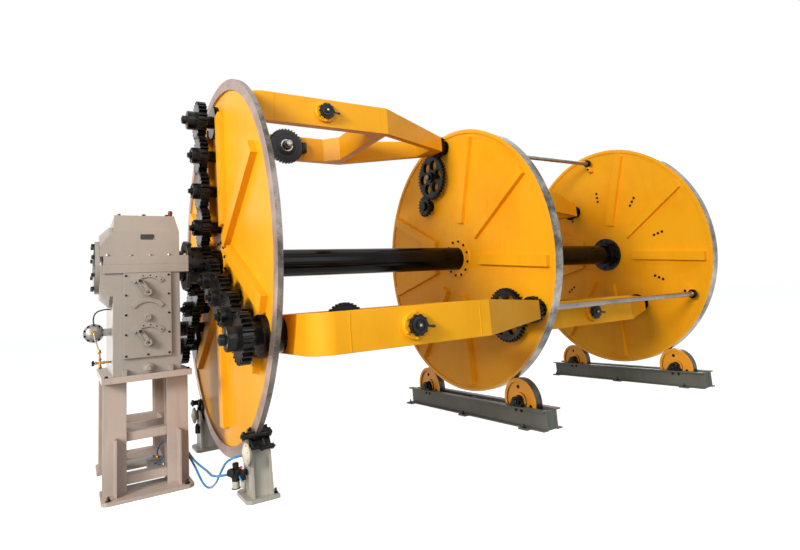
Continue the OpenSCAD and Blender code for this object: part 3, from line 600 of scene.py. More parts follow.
def pipe(points: Sequence[Vector], diameter_mm: float, resolution: int = 4) -> Object:
    """Lays a smooth round rod through some points, as one mesh.

    Args:
        points: Places in metres.
        diameter_mm: Outside diameter.
        resolution: Steps in each quarter of the round.

    Returns:
        The rod, in its place.
    """
    curve = rod_curve("pipe", "BEZIER", diameter_mm, resolution)
    knots = curve.splines[0].bezier_points
    knots.add(len(points) - 1)
    for knot, point in zip(knots, points):
        knot.co = point
        knot.handle_left_type = knot.handle_right_type = "AUTO"
    piece = bpy.data.objects.new("pipe", curve)
    bpy.context.collection.objects.link(piece)
    choose(piece)
    bpy.ops.object.convert(target="MESH")
    return bpy.context.object


def facing(at: Vector, way: Vector, spin: float = 0.0) -> Matrix:
    """The placement that stands a piece at a place, with its +Z along a direction.

    Args:
        at: Where the piece's origin goes.
        way: Where its +Z points.
        spin: Turn about that direction, in degrees.

    Returns:
        A matrix for the piece's mesh.
    """
    turn = way.to_track_quat("Z", "Y").to_matrix().to_4x4()
    return Matrix.Translation(at) @ turn @ Matrix.Rotation(math.radians(spin), 4, "Z")


def placed(piece: Object, at: Vector, way: Vector | None = None) -> Object:
    """Brings a piece modelled at the origin to its place.

    Args:
        piece: The piece.
        at: Where its origin goes.
        way: Where its +Z points, if it is turned.

    Returns:
        The same piece.
    """
    piece.data.transform(Matrix.Translation(at) if way is None else facing(at, way))
    return piece


def around(count: int, radius_mm: float, start: float = 0.0) -> list[tuple[float, float]]:
    """Even places round a circle, in metres, the first one a share of a step on."""
    turns = [math.tau * (k + start) / count for k in range(count)]
    return [(radius_mm * MM * math.cos(turn), radius_mm * MM * math.sin(turn)) for turn in turns]


def stamp(pattern: Object, places: Sequence[Matrix]) -> Object:
    """Copies one modelled piece to every place and joins the copies.

    Args:
        pattern: The piece at the origin. It is used up.
        places: A placement for each copy.

    Returns:
        All the copies as one piece.
    """
    copies = []
    for place in places:
        copy = bpy.data.objects.new("copy", pattern.data.copy())
        copy.data.transform(place)
        bpy.context.collection.objects.link(copy)
        copies.append(copy)
    bpy.data.objects.remove(pattern)
    return merge(*copies)


def merge(*pieces: Object) -> Object:
    """Joins pieces into the first one.

    Args:
        *pieces: The pieces to join.

    Returns:
        The first piece.
    """
    choose(*pieces)
    if len(pieces) > 1:
        bpy.ops.object.join()
    return bpy.context.object


def hex_head(across_mm: float, height_mm: float, washer: bool = True) -> Object:
    """Models a hexagon bolt head with a chamfered top, standing on +Z.

    Args:
        across_mm: Distance over the corners.
        height_mm: Height of the head.
        washer: Whether a washer lies under it.

    Returns:
        The bolt head.
    """
    half = across_mm / 2
    base = 0.18 * height_mm if washer else 0.0
    head = turned([(half, base - 0.5), (half, height_mm * 0.86), (half * 0.84, height_mm)], sides=6)
    if not washer:
        return head
    rim = half * 1.25
    return merge(head, turned([(rim, -0.5), (rim, base), (half * 1.05, base + 0.3)], sides=14))


def socket_head(diameter_mm: float, height_mm: float) -> Object:
    """Models a round cap screw with a socket in its top, standing on +Z."""
    half = diameter_mm / 2
    return turned([(half, -0.5), (half, height_mm * 0.85), (half * 0.88, height_mm), (half * 0.5, height_mm),
                   (half * 0.45, height_mm * 0.45)], sides=12)


def nut_on_stud(across_mm: float, stud_mm: float) -> Object:
    """Models an anchor: a washer, a nut and the stud's end above it, standing on +Z."""
    half = across_mm * 0.27
    return merge(hex_head(across_mm, across_mm * 0.45),
                 turned([(half, 0.0), (half, stud_mm - 2.0), (half * 0.8, stud_mm)], sides=10))


@dataclass
class SubAssembly:
    """What every sub-assembly shares: the datum and the finishes."""

    datum: Datum
    finishes: dict[Finish, Material]

    def dress(self, piece: Object, name: str, finish: Finish, body: str = PLANT,
              smooth: float = 35.0) -> None:
        """Names a piece, gives it its finish and lets it ride on a body.

        Args:
            piece: The finished piece.
            name: Its name in the model.
            finish: Its finish.
            body: The body it moves with.
            smooth: Edges sharper than this stay sharp, in degrees.
        """
        piece.name = name
        piece.data.name = name
        piece.data.materials.clear()
        piece.data.materials.append(self.finishes[finish])
        if piece.type == "MESH":
            choose(piece)
            bpy.ops.object.shade_smooth_by_angle(angle=math.radians(smooth))
        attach(piece, body)
        LOG.info("%s rides on %s", name, body)

    def fasten(self, name: str, pattern: Object, spots: Sequence[Vector], way: Vector,
               finish: Finish = Finish.BLACKED_STEEL, body: str = PLANT) -> None:
        """Stands copies of a fastener at places, all facing one way, each turned a little on.

        Args:
            name: The row's name.
            pattern: The fastener at the origin. It is used up.
            spots: Where the copies stand.
            way: Where they point.
            finish: Their finish.
            body: The body they move with.
        """
        row = stamp(pattern, [facing(spot, way, 23.0 * k) for k, spot in enumerate(spots)])
        self.dress(row, name, finish, body)


@dataclass
class AirLines(SubAssembly):
    """The two blue hoses from the manifold behind the stand to the near brake."""

    diameter_mm: float = 12.0
    steps_per_knot: int = 4
    brake_y: float = -1250 * math.sin(math.radians(33))
    inlet_floor: float = 140.0
    chamber_floor: float = 243.0

    def main_knots(self) -> list[Place]:
        """The main hose's route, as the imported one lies."""
        y_end, z_end = self.brake_y + 20, self.inlet_floor
        return [(-365, 300, 89), (-365, 300, 122), (-359, 293.5, 155), (-342.5, 276, 179), (-320, 252, 188),
                (-297, 227, 188), (-276, 199, 184), (-257, 165, 177), (-242, 124, 169), (-230, 78, 161),
                (-223, 25, 154), (-220, -35, 147), (-218, -100, 140), (-214, -170, 132), (-207, -245, 126),
                (-201, -320, 124), (-198, -385, 125), (-198, -440, 129), (-200, -490, 133), (-202, -530, 136),
                (-201.5, -562, 138), (-205, -593.5, z_end), (-195, -628.5, z_end), (-172.5, -650.5, z_end),
                (-137, y_end, z_end), (-114, y_end, z_end)]

    def branch_knots(self) -> list[Place]:
        """The branch hose's route, which sags to the floor and rises to the chamber."""
        y_end, z_end = self.brake_y - 64, self.chamber_floor
        return [(-385, 265, 58), (-385, 230, 58), (-382, 198, 67), (-371, 168, 90), (-350, 144, 118),
                (-322, 122, 137), (-291, 98, 142), (-262, 72, 140), (-238, 42, 136), (-222, 5, 128),
                (-216, -45, 118), (-212, -100, 105), (-206, -155, 85), (-200, -205, 60), (-193, -252, 36),
                (-186, -297, 18), (-179, -344, 12), (-173, -393, 18), (-168, -442, 34), (-165, -492, 57),
                (-163, -542, 86), (-162, -587, 118), (-160, -625, 147), (-157.5, -653, 170),
                (-154.5, -676.5, 189), (-152.5, -697.5, 205.5), (-142.5, -721.5, 224.5),
                (-118.5, -739, 238.5), (-88, y_end, z_end), (-56, y_end, z_end)]

    def route(self, knots: Sequence[Place]) -> list[Vector]:
        """Rounds a route through its knots in even steps, its ends held.

        Args:
            knots: Places in millimetres, heights above the floor.

        Returns:
            Places in metres along the hose.
        """
        points = [self.datum.floor(*knot) for knot in knots]
        held = [points[0], *points, points[-1]]
        line = []
        for leg in range(len(points) - 1):
            p0, p1, p2, p3 = held[leg:leg + 4]
            for step in range(self.steps_per_knot):
                t = step / self.steps_per_knot
                line.append(0.5 * (2 * p1 + (p2 - p0) * t + (2 * p0 - 5 * p1 + 4 * p2 - p3) * t * t
                                   + (3 * p1 - p0 - 3 * p2 + p3) * t ** 3))
        return [*line, points[-1]]

    def lay(self, name: str, line: Sequence[Vector]) -> None:
        """Args:
            name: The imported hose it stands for.
            line: Its route, in metres.
        """
        curve = rod_curve(f"{name}_skin", "POLY", self.diameter_mm, 4)
        knots = curve.splines[0].points
        knots.add(len(line) - 1)
        for knot, place in zip(knots, line):
            knot.co = (*place, 1.0)
        hose = bpy.data.objects.new(curve.name, curve)
        bpy.context.collection.objects.link(hose)
        self.dress(hose, f"{name}_skin", Finish.HOSE)
        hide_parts(name)
        length = sum((b - a).length for a, b in zip(line, line[1:]))
        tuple(line[0])
        LOG.info("%s is %.3f m long", name, length)

    def build(self) -> None:
        """Lays both hoses and puts a brass push-in fitting on each of their ends."""
        main, branch = self.route(self.main_knots()), self.route(self.branch_knots())
        self.lay("air_hose_main", main)
        self.lay("air_hose_branch", branch)
        ends = [(main[0], UP), (branch[0], NEAR), (main[-1], LEFT), (branch[-1], LEFT)]
        fitting = merge(turned([(10, 0), (10, 8), (9, 9)], 6),
                        turned([(8.5, 8.5), (8.5, 17), (7.5, 19), (6.3, 19), (6.3, 10)], 20))
        self.dress(stamp(fitting, [facing(end, way) for end, way in ends]), "hose_ferrules", Finish.BRASS)


@dataclass
class GearboxDressing(SubAssembly):
    """Fasteners, levers' grips, plates and fittings of the gearbox and its stand."""

    front: float = -165.0
    cover_front: float = -183.0
    quadrant_front: float = -191.0
    plug_front: float = -199.0
    lip_front: float = -172.0
    lip_top: float = 52.0
    roof: float = 312.0
    pivot_x: float = -467.0
    pivot_drops: Place = (175.0, 325.0, 475.0)
    drain_drop: float = 625.0
    quadrant_mid: float = 105.0
    lever_rest: float = 33.0
    arm_front: float = -217.0
    arm_length: float = 84.0
    left_face: float = -746.0
    right_face: float = -204.0
    right_seat: float = -230.0
    cap_bolt_radius: float = 140.0
    plate_at: tuple[float, float] = (-466.0, 170.0)
    actuator_z: float = -397.0
    actuator_front: float = 6.0
    actuator_rim: float = 23.0
    valve_at: Place = (-712.0, 30.0, -578.0)
    stand_top: float = 685.0
    foot_top: float = 20.0

    def flange_bolts(self) -> None:
        """Bolts the split flange all round, on its narrow front lip and its wide side lips."""
        front = [self.datum.at(x, self.lip_front, self.lip_top) for x in (-684, -560, -452, -345, -250)]
        lips = ((-678, (-110, 330, 450, 570)), (-256, (-125, 190, 320, 450, 580)))
        sides = [self.datum.at(x, y, self.lip_top) for x, row in lips for y in row]
        self.fasten("flange_front_bolts", hex_head(17, 12), front, UP, Finish.ZINC)
        self.fasten("flange_side_bolts", hex_head(24, 13), sides, UP)

    def cover_screws(self) -> None:
        """Holds the front cover with dark screws down both edges and one below."""
        spots = [(x, z) for x in (-585, -349) for z in (-70, -187, -304, -421, -545)]
        spots.append((self.pivot_x, -545))
        self.fasten("cover_screws", socket_head(13, 5),
                    [self.datum.at(x, self.cover_front, z) for x, z in spots], NEAR)

    def detents(self) -> None:
        """Drills the detent marks along the two quadrants that have a lever."""
        spots = []
        for drop in (self.pivot_drops[0], self.pivot_drops[2]):
            for lean in map(math.radians, (-14, 8, 27, 46)):
                across, up = self.quadrant_mid * math.sin(lean), self.quadrant_mid * math.cos(lean)
                spots.append(self.datum.at(self.pivot_x + across, self.quadrant_front, -drop + up))
        mark = turned([(4.4, -0.4), (4.4, 0.6), (3.6, 1.1), (2.4, 1.1), (2.0, 0.3)], 14)
        self.fasten("detent_marks", mark, spots, NEAR)

    def lever(self, name: str, drop: float) -> None:
        """Adds the raised edges, the plunger and the pivot screw of one shift lever.

        Args:
            name: The lever's body.
            drop: Its pivot's depth below the cage axis.
        """
        lean = Matrix.Rotation(math.radians(-self.lever_rest), 4, "Y")
        place = Matrix.Translation(self.datum.at(self.pivot_x, self.arm_front, -drop)) @ lean
        outward = Matrix.Rotation(math.radians(90), 4, "X")
        rails = []
        for side in (-1, 1):
            rail = block((side * 13.5 - 3.2, -5, 16), (side * 13.5 + 3.2, 1, self.arm_length - 6), 1.2)
            with editing(rail):
                # The arm tapers, so the rail's upper end leans towards its middle.
                pick_faces(lambda centre, normal: centre.z > 0.05)
                bpy.ops.transform.translate(value=(-side * 2.5 * MM, 0, 0))
            rails.append(rail)
        foot = turned([(20, 0), (20, 4), (18.5, 5.5), (13, 5.5), (12, 2)], 28)
        foot.data.transform(outward)
        arm = merge(*rails, foot)
        arm.data.transform(place)
        self.dress(arm, f"{name}_rails", Finish.GEARBOX_ENAMEL, name)
        screw = socket_head(11, 6)
        screw.data.transform(outward)
        plunger = turned([(8, 4), (8, 9), (9, 10), (9, 15), (7, 18), (4, 19)], 20)
        plunger.data.transform(Matrix.Translation((0, 0, self.arm_length * MM)) @ outward)
        grip = merge(screw, plunger)
        grip.data.transform(place)
        self.dress(grip, f"{name}_plunger", Finish.NYLON, name)

    def nameplate(self) -> None:
        """Rivets a bare etched plate under the eaves."""
        x, z = self.plate_at
        plate = block((-39, -2, -16.5), (39, 0, 16.5), 0.8)
        with editing(plate):
            pick_faces(lambda centre, normal: normal.y < -0.9)
            bpy.ops.mesh.inset(thickness=2.5 * MM, depth=0)
            bpy.ops.mesh.inset(thickness=1.2 * MM, depth=-0.7 * MM)
        self.dress(placed(plate, self.datum.at(x, self.front, z)), "bare_nameplate", Finish.PLATE_FOIL)
        rivets = [self.datum.at(x + a, self.front - 2, z + b) for a in (-36, 36) for b in (-13.5, 13.5)]
        self.fasten("nameplate_rivets", turned([(2.2, -0.3), (2.2, 0.5), (1.2, 1.2)], 10), rivets, NEAR,
                    Finish.ZINC)

    def roof_fittings(self) -> None:
        """Stands the breather and the lifting bolts on the roof."""
        breather = turned([(15, 0), (15, 5), (12.6, 6), (12.6, 28), (14, 30), (14, 39), (11, 46),
                           (5, 48)], 24)
        self.dress(placed(breather, self.datum.at(-316, -45, self.roof)), "breather_cap", Finish.COPPER)
        spots = [self.datum.at(x, y, self.roof) for x in (-618, -478, -345) for y in (-96, 250, 560)]
        self.fasten("roof_bolts", hex_head(22, 12), spots, UP)

    def cap_bolts(self) -> None:
        """Bolts both bearing caps round their edge and covers them."""
        left = self.datum.circle(self.left_face, self.cap_bolt_radius, 22.5, 8)
        right = self.datum.circle(self.right_face, self.cap_bolt_radius + 5, 22.5, 8)
        self.fasten("left_cap_bolts", hex_head(26, 20), left, LEFT)
        self.fasten("right_cap_bolts", hex_head(24, 15), right, RIGHT)
        cover = turned([(150, -0.5), (150, 3), (146, 5), (96, 5), (92, 8), (60, 8), (58, 6)], 64)
        self.dress(placed(cover, self.datum.at(self.left_face, 0, 0), LEFT), "left_cap_cover",
                   Finish.BLACKED_STEEL)
        ring = turned([(163, 1), (163, 24), (161, 26), (128, 26), (126, 24), (126, 1)], 72, hollow=True)
        self.dress(placed(ring, self.datum.at(self.right_seat, 0, 0), RIGHT), "right_cap_cover",
                   Finish.BLACKED_STEEL)

    def plugs(self) -> None:
        """Fits the sight plug on the cover and the hexagon drain plug on its boss."""
        sight = turned([(17, -0.5), (17, 3), (15.5, 4.5), (11, 4.5), (10, 2), (6, 2), (5, 3.5)], 28)
        drain = merge(turned([(24, -0.5), (24, 4), (22, 5)], 28), turned([(17, 4), (17, 15), (14, 18)], 6))
        for plug, drop in ((sight, self.pivot_drops[1]), (drain, self.drain_drop)):
            placed(plug, self.datum.at(self.pivot_x, self.plug_front, -drop), NEAR)
        self.dress(merge(sight, drain), "gearbox_plugs", Finish.GEARBOX_ENAMEL)

    def actuator(self) -> None:
        """Dresses the diaphragm actuator with clamp bolts, a brass nipple, its pipes and its valve."""
        at = self.datum.at
        rim = at(self.left_face, self.actuator_rim, self.actuator_z)
        bolts = [rim + Vector((across, 0, up)) for across, up in around(10, 50, 0.5)]
        self.fasten("actuator_bolts", hex_head(11, 8), bolts, NEAR)
        front = at(self.left_face, self.actuator_front, self.actuator_z)
        shell = turned([(43, 0), (42, 3), (34, 8), (20, 11), (18, 11.5)], 36)
        self.dress(placed(shell, front, NEAR), "actuator_dome", Finish.ACTUATOR_CAST)
        nipple = merge(turned([(15, 10), (15, 18), (13, 20)], 6), turned([(10, 19), (10, 28), (8, 30)], 20))
        joint = turned([(9, -12), (11, -9), (11, 9), (9, 12)], 8)
        bar = turned([(9, -26), (9, -16), (7, -14), (7, 14), (9, 16), (9, 26)], 12)
        stem = soften(turned([(6, 0), (6, 40)], 12), 1.0)
        valve = at(*self.valve_at)
        fittings = merge(placed(nipple, front, NEAR),
                         placed(joint, at(-718, -20, -510), Vector((0.25, 0, -1))),
                         stamp(bar, [facing(valve, way) for way in (UP, RIGHT)]),
                         placed(stem, valve + RIGHT * 22 * MM, RIGHT))
        self.dress(fittings, "actuator_fittings", Finish.BRASS)
        down = [(-746, -22, -397), (-743, -26, -420), (-731, -23, -465), (-718, -20, -512), (-713, 5, -545),
                (-712, 30, -562)]
        self.dress(pipe([at(*knot) for knot in down], 9), "actuator_pipe", Finish.ZINC)
        loop = [(-746, 30, -342), (-748, 30, -312), (-735, 30, -276), (-700, 30, -260), (-650, 30, -258)]
        self.dress(pipe([at(*knot) for knot in loop], 8), "actuator_breather_pipe", Finish.SHAFT_LACQUER)
        knob = turned([(6, 24), (6, 30), (15, 31), (16, 34), (16, 41), (13, 44)], 12)
        self.dress(placed(knob, valve, LEFT), "valve_knob", Finish.NYLON)

    def stand_fasteners(self) -> None:
        """Bolts the housing to the stand's top plate and anchors the stand's feet."""
        top = [self.datum.floor(x, y, self.stand_top) for x in (-688, -246) for y in (-196, 664)]
        self.fasten("top_plate_bolts", hex_head(20, 11), top, UP)
        feet = [self.datum.floor(x, y, self.foot_top) for x in (-676, -262) for y in (-214, 739)]
        self.fasten("stand_anchors", nut_on_stud(26, 24), feet, UP)

    def build(self) -> None:
        """Makes every piece."""
        self.flange_bolts()
        self.cover_screws()
        self.detents()
        self.lever("lever_upper", self.pivot_drops[0])
        self.lever("lever_lower", self.pivot_drops[2])
        self.nameplate()
        self.roof_fittings()
        self.cap_bolts()
        self.plugs()
        self.actuator()
        self.stand_fasteners()


@dataclass
class BrakeDressing(SubAssembly):
    """Pins, arms, chambers and air fittings of the two brakes on disc 1."""

    post_x: float = 97.0
    post_y: float = 680.8
    foot_top: float = 20.0
    near_angle: float = 237.0
    # Ends along the cage axis, radius from it, offset along the ring's edge and the pin's own radius.
    pins: tuple[tuple[float, ...], ...] = ((-70.0, 88.0, 1245.0, 76.0, 19.0),
                                           (20.0, 94.0, 1320.0, 64.0, 12.0))
    arm_x: tuple[float, float] = (-21.0, 47.0)
    arm_along: float = 38.0
    arm_out: float = 1256.0

    def local(self, side: int, x: float, out: float, along: float) -> Vector:
        """A place at one brake, out along the ring's radius and along its edge.

        Args:
            side: -1 for the near brake, 1 for the far one.
            x: Place along the cage axis.
            out: Radius from the cage axis.
            along: Offset along the ring's edge, upwards from the post.

        Returns:
            The place in the part's frame.
        """
        turn = math.radians(self.near_angle)
        y = out * math.cos(turn) + along * math.sin(turn)
        z = out * math.sin(turn) - along * math.cos(turn)
        return self.datum.at(x, y if side < 0 else -y, z)

    def arms(self, side: int, name: str) -> None:
        """Hangs the brake's pins and levers on the jaws.

        Args:
            side: -1 for the near brake, 1 for the far one.
            name: Which brake it is.
        """
        pieces = []
        for low, high, out, along, radius in self.pins:
            left, right = (self.local(side, x, out, along) for x in (low, high))
            span = high - low
            rod = turned([(radius * 0.8, 0), (radius, 2), (radius, span - 2), (radius * 0.8, span)], 24)
            head = turned([(radius * 1.35, -16), (radius * 1.35, -2), (radius * 1.1, 0), (radius * 0.6, 1),
                           (radius * 0.6, 7)], 6)
            pieces += [placed(rod, left, RIGHT), stamp(head, [facing(left, LEFT), facing(right, RIGHT)])]
        for x in self.arm_x:
            arm = block((-9, -22, -52), (9, 22, 60), 5)
            with editing(arm):
                # The arm narrows towards the pad it presses.
                pick_faces(lambda centre, normal: normal.z > 0.9)
                bpy.ops.transform.resize(value=(1, 0.55, 1))
            middle, outer = (self.local(side, x, self.arm_out + out, self.arm_along) for out in (0, 100))
            pieces.append(placed(arm, middle, middle - outer))
        self.dress(merge(*pieces), f"brake_arms_{name}", Finish.BLACKED_STEEL)

    def chamber(self, name: str) -> None:
        """Domes the brake chamber and clamps its rim.

        Args:
            name: Which brake it is.
        """
        low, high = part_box(f"brake_chamber_{name}")
        middle = Vector((low.x, (low.y + high.y) / 2, (low.z + high.z) / 2))
        dome = turned([(50, -1), (48, 3), (38, 8), (22, 11), (16, 11.5), (15, 15), (11, 15.5)], 40)
        rim = turned([(56.3, 1), (59.5, 2), (59.5, 11), (56.3, 12)], 48, hollow=True)
        shell = merge(placed(dome, middle, LEFT), placed(rim, middle + RIGHT * 13 * MM, LEFT))
        self.dress(shell, f"chamber_dome_{name}", Finish.CHAMBER_ENAMEL)
        spots = [middle + Vector((0, across, up)) for across, up in around(8, 52.5, 0.5)]
        self.fasten(f"chamber_bolts_{name}", hex_head(6.5, 4), spots, LEFT, Finish.ZINC)

    def anchors(self, side: int, name: str) -> None:
        """Anchors the post's base."""
        spots = [self.datum.floor(self.post_x, side * self.post_y + y, self.foot_top) for y in (-85, 85)]
        self.fasten(f"brake_anchors_{name}", nut_on_stud(22, 26), spots, UP)

    def regulator(self) -> None:
        """Dresses the near brake's filter and regulator with a gauge, a bowl and coloured fittings."""
        floor, y = self.datum.floor, -self.post_y + 20
        gauge = turned([(20, 0), (21.5, 2), (21.5, 15), (20, 17), (17.5, 17), (17, 15.5)], 32)
        cap = turned([(17.5, 20), (17.5, 27), (14, 31), (9, 32)], 16)
        guard = [placed(soften(turned(profile, 24), 0.8), floor(-88, y, 61))
                 for profile in ([(21.5, 38), (21.5, 56), (20, 59)], [(24, -2), (24, 2.5)])]
        valve = block((-14, -14, -30), (14, 14, 22), 3)
        fittings = merge(placed(gauge, floor(-112, y - 12, 150), Vector((-0.7, -0.7, 0.1))),
                         placed(cap, floor(-88, y, 162), UP), *guard, placed(valve, floor(-60, y - 38, 136)))
        self.dress(fittings, "regulator_fittings", Finish.NYLON)
        bowl = turned([(9, -38), (13, -34), (13.5, 2), (11, 4)], 24)
        sleeve = turned([(19.6, -0.5), (19.6, 34), (19.2, 35)], 28)
        bowls = merge(placed(bowl, floor(-60, y - 38, 104)), placed(sleeve, floor(-88, y, 64)))
        self.dress(bowls, "regulator_bowls", Finish.GLAZED_BOWL)
        release = turned([(7.5, 0), (7.5, 8), (6.5, 9.5), (4.5, 9.5), (4.5, 6)], 18)
        self.dress(placed(release, floor(-64, y - 26, 168), Vector((-0.4, -0.8, 0.4))), "red_release",
                   Finish.RED_NYLON)
        elbow = [(-72, y - 30, 130), (-80, y - 50, 126), (-72, y - 58, 110), (-62, y - 44, 100)]
        self.dress(pipe([floor(*knot) for knot in elbow], 8), "blue_elbow", Finish.HOSE)

    def far_valve(self) -> None:
        """Hangs the far brake's small valve on its post."""
        top = placed(turned([(12, 26), (12, 40), (9, 44)], 16), LEFT * 45 * MM)
        valve = merge(block((-60, -20, -26), (-30, 20, 26), 3), top)
        self.dress(placed(valve, self.datum.floor(0, self.post_y - 20, 150)), "far_brake_valve", Finish.NYLON)

    def build(self) -> None:
        """Dresses both brakes."""
        for name, side in SIDES.items():
            self.arms(side, name)
            self.chamber(name)
            self.anchors(side, name)
        self.regulator()
        self.far_valve()


@dataclass
class DiscDressing(SubAssembly):
    """Screws, hub bolts, eyelets and bright edges of the three discs."""

    ring_bolt_radius: float = 1217.0
    ring_bolts: int = 18
    hub_bolt_radius: float = 152.0
    hub_bolts: int = 12
    eyelet_radii: Place = (600.0, 645.0, 690.0)
    eyelet_sectors: int = 9
    eyelet_first: float = 167.0
    tube_end: float = 2 * DISC_PITCH - 50.0

    def ring_screws(self) -> None:
        """Screws the brake ring's segments to disc 1."""
        screw = turned([(11, -0.5), (11, 1.2), (9, 2.0), (5.5, 2.0), (4.6, 0.4)], 20)
        spots = self.datum.circle(0, self.ring_bolt_radius, 8, self.ring_bolts)
        self.fasten("brake_ring_screws", screw, spots, LEFT, Finish.ZINC, CAGE)

    def hub_rings(self) -> None:
        """Bolts the shaft's flanges to the discs, over a collar on the first two."""
        for number, x in DISC_FRONTS.items():
            bolt, seat = ((22, 13), 26) if number == 3 else ((20, 12), 8)
            if number < 3:
                collar = turned([(172, -0.5), (172, 5), (169, 8), (106, 8), (101, 12), (101, -0.5)], 72,
                                hollow=True)
                self.dress(placed(collar, self.datum.at(x, 0, 0), LEFT), f"hub_collar_{number}",
                           Finish.CAGE_ENAMEL, CAGE)
            spots = self.datum.circle(x - seat, self.hub_bolt_radius, 15, self.hub_bolts)
            self.fasten(f"hub_bolts_{number}", hex_head(*bolt), spots, LEFT, body=CAGE)

    def eyelets(self) -> None:
        """Lines the wire holes of disc 3 with dark bushes, three in each open sector."""
        spots = [self.datum.polar(DISC_FRONTS[3], radius, self.eyelet_first - 360 / self.eyelet_sectors * k)
                 for k in range(self.eyelet_sectors) for radius in self.eyelet_radii]
        bush = turned([(13, -0.5), (14, 3), (12, 7), (8, 8), (6.5, 3)], 20)
        self.fasten("disc_3_eyelets", bush, spots, LEFT, Finish.NYLON, CAGE)

    def tube_ends(self) -> None:
        """Screws the guide tubes' clamps and ferrules at disc 3."""
        angles = TRAIN_ANGLES.values()
        ends = [self.datum.polar(self.tube_end, FIRST_RADIUS, angle) for angle in angles]
        turns = [Matrix.Translation(end) @ Matrix.Rotation(math.radians(angle), 4, "X")
                 for end, angle in zip(ends, angles)]
        leftward = [facing(end, LEFT) for end in ends]
        collar = turned([(21.6, -1), (42, -1), (42, 18), (40, 20), (23, 20), (21.6, 18)], 36, hollow=True)
        collars = stamp(collar, leftward)
        head = placed(hex_head(22, 11), Vector((-17, -70, 0)) * MM, LEFT)
        self.dress(merge(collars, stamp(head, turns)), "tube_clamps", Finish.BLACKED_STEEL, CAGE)
        bracket = merge(block((-17, -96.5, -15.5), (0.5, -41, 15.5), 1.5),
                        block((-0.5, -96.5, -15.5), (59, -43.5, 15.5), 1.5))
        self.dress(stamp(bracket, turns), "tube_brackets", Finish.CAGE_ENAMEL, CAGE)
        ferrule = turned([(21.5, 24), (24, 25), (24, 41), (21.5, 42)], 28, hollow=True)
        self.dress(stamp(ferrule, leftward), "tube_ferrules", Finish.BRASS, CAGE)

    def edge_band(self) -> None:
        """Turns disc 1's outer edge bright, behind the brake ring and over its rim."""
        band = turned([(1250.2, -15), (1250.8, -15), (1250.8, 13), (1249, 14.5), (1236.3, 14.5),
                       (1236.3, 0.3), (1250.2, 0.3)], 200, hollow=True)
        placed(band, self.datum.at(DISC_FRONTS[1], 0, 0), RIGHT)
        self.dress(band, "disc_1_edge_band", Finish.EDGE_STEEL, CAGE)

    def build(self) -> None:
        """Dresses the three discs."""
        self.ring_screws()
        self.hub_rings()
        self.eyelets()
        self.tube_ends()
        self.edge_band()


@dataclass
class GearTrainDressing(SubAssembly):
    """End caps, nuts and rings of the gears on discs 1 and 2."""

    idler_pitch: float = 260.0
    idler_front: float = -160.0
    stud_front: float = -174.0
    planet_front: float = -216.0
    transfer_front: float = 1952.0

    def idlers(self) -> None:
        """Caps each idler's stud and rings its hub."""
        spots = []
        for train, angle in TRAIN_ANGLES.items():
            for k in (1, 2, 3):
                ring = turned([(56, -0.5), (56, 2), (52, 5), (38, 5), (36, 2), (29, 2), (29, -0.5)], 36,
                              hollow=True)
                screws = stamp(socket_head(11, 5),
                               [Matrix.Translation((across, up, 4 * MM)) for across, up in around(6, 44)])
                centre = self.datum.polar(self.idler_front, self.idler_pitch * k, angle)
                self.dress(placed(merge(ring, screws), centre, LEFT), f"idler_ring_{train}{k}",
                           Finish.BLACKED_STEEL, f"idler_{train}{k}")
                spots.append(self.datum.polar(self.stud_front, self.idler_pitch * k, angle))
        self.fasten("idler_stud_nuts", hex_head(36, 16), spots, LEFT, body=CAGE)

    def planets(self) -> None:
        """Steps the end of each cradle's driven shaft."""
        for train, angle in TRAIN_ANGLES.items():
            tip = merge(turned([(24, -0.5), (24, 2), (20, 5), (13, 5), (12, 3)], 24),
                        turned([(63, -34.5), (63, -31), (58, -28), (38, -28), (35, -25), (31, -25),
                                (31, -34.5)], 40, hollow=True))
            placed(tip, self.datum.polar(self.planet_front, FIRST_RADIUS, angle), LEFT)
            self.dress(tip, f"planet_tip_{train}", Finish.BLACKED_STEEL, f"cradle_{train}")

    def transfers(self) -> None:
        """Puts a bright nut on each transfer gear's stud."""
        for name in ("a", "b"):
            low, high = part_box(f"transfer_{name}")
            spot = (low + high) / 2
            spot.x = self.datum.at(self.transfer_front, 0, 0).x
            nut = merge(hex_head(34, 16), turned([(9, 10), (9, 24), (7, 26)], 14))
            self.dress(placed(nut, spot, LEFT), f"transfer_nut_{name}", Finish.ZINC, CAGE)

    def build(self) -> None:
        """Dresses all the gears."""
        self.idlers()
        self.planets()
        self.transfers()


@dataclass(frozen=True)
class Cradle:
    """One cradle's letter, its shift along the cage axis and its shaft's place across that axis."""

    name: str
    x: float
    y: float
    z: float

    @classmethod
    def on_circle(cls, name: str, x: float, radius: float, angle: float) -> "Cradle":
        """A cradle whose shaft lies at an angle round the cage axis."""
        turn = math.radians(angle)
        return cls(name, x, radius * math.cos(turn), radius * math.sin(turn))

    @property
    def body(self) -> str:
        """The cradle's body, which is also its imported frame's name."""
        return f"cradle_{self.name}"


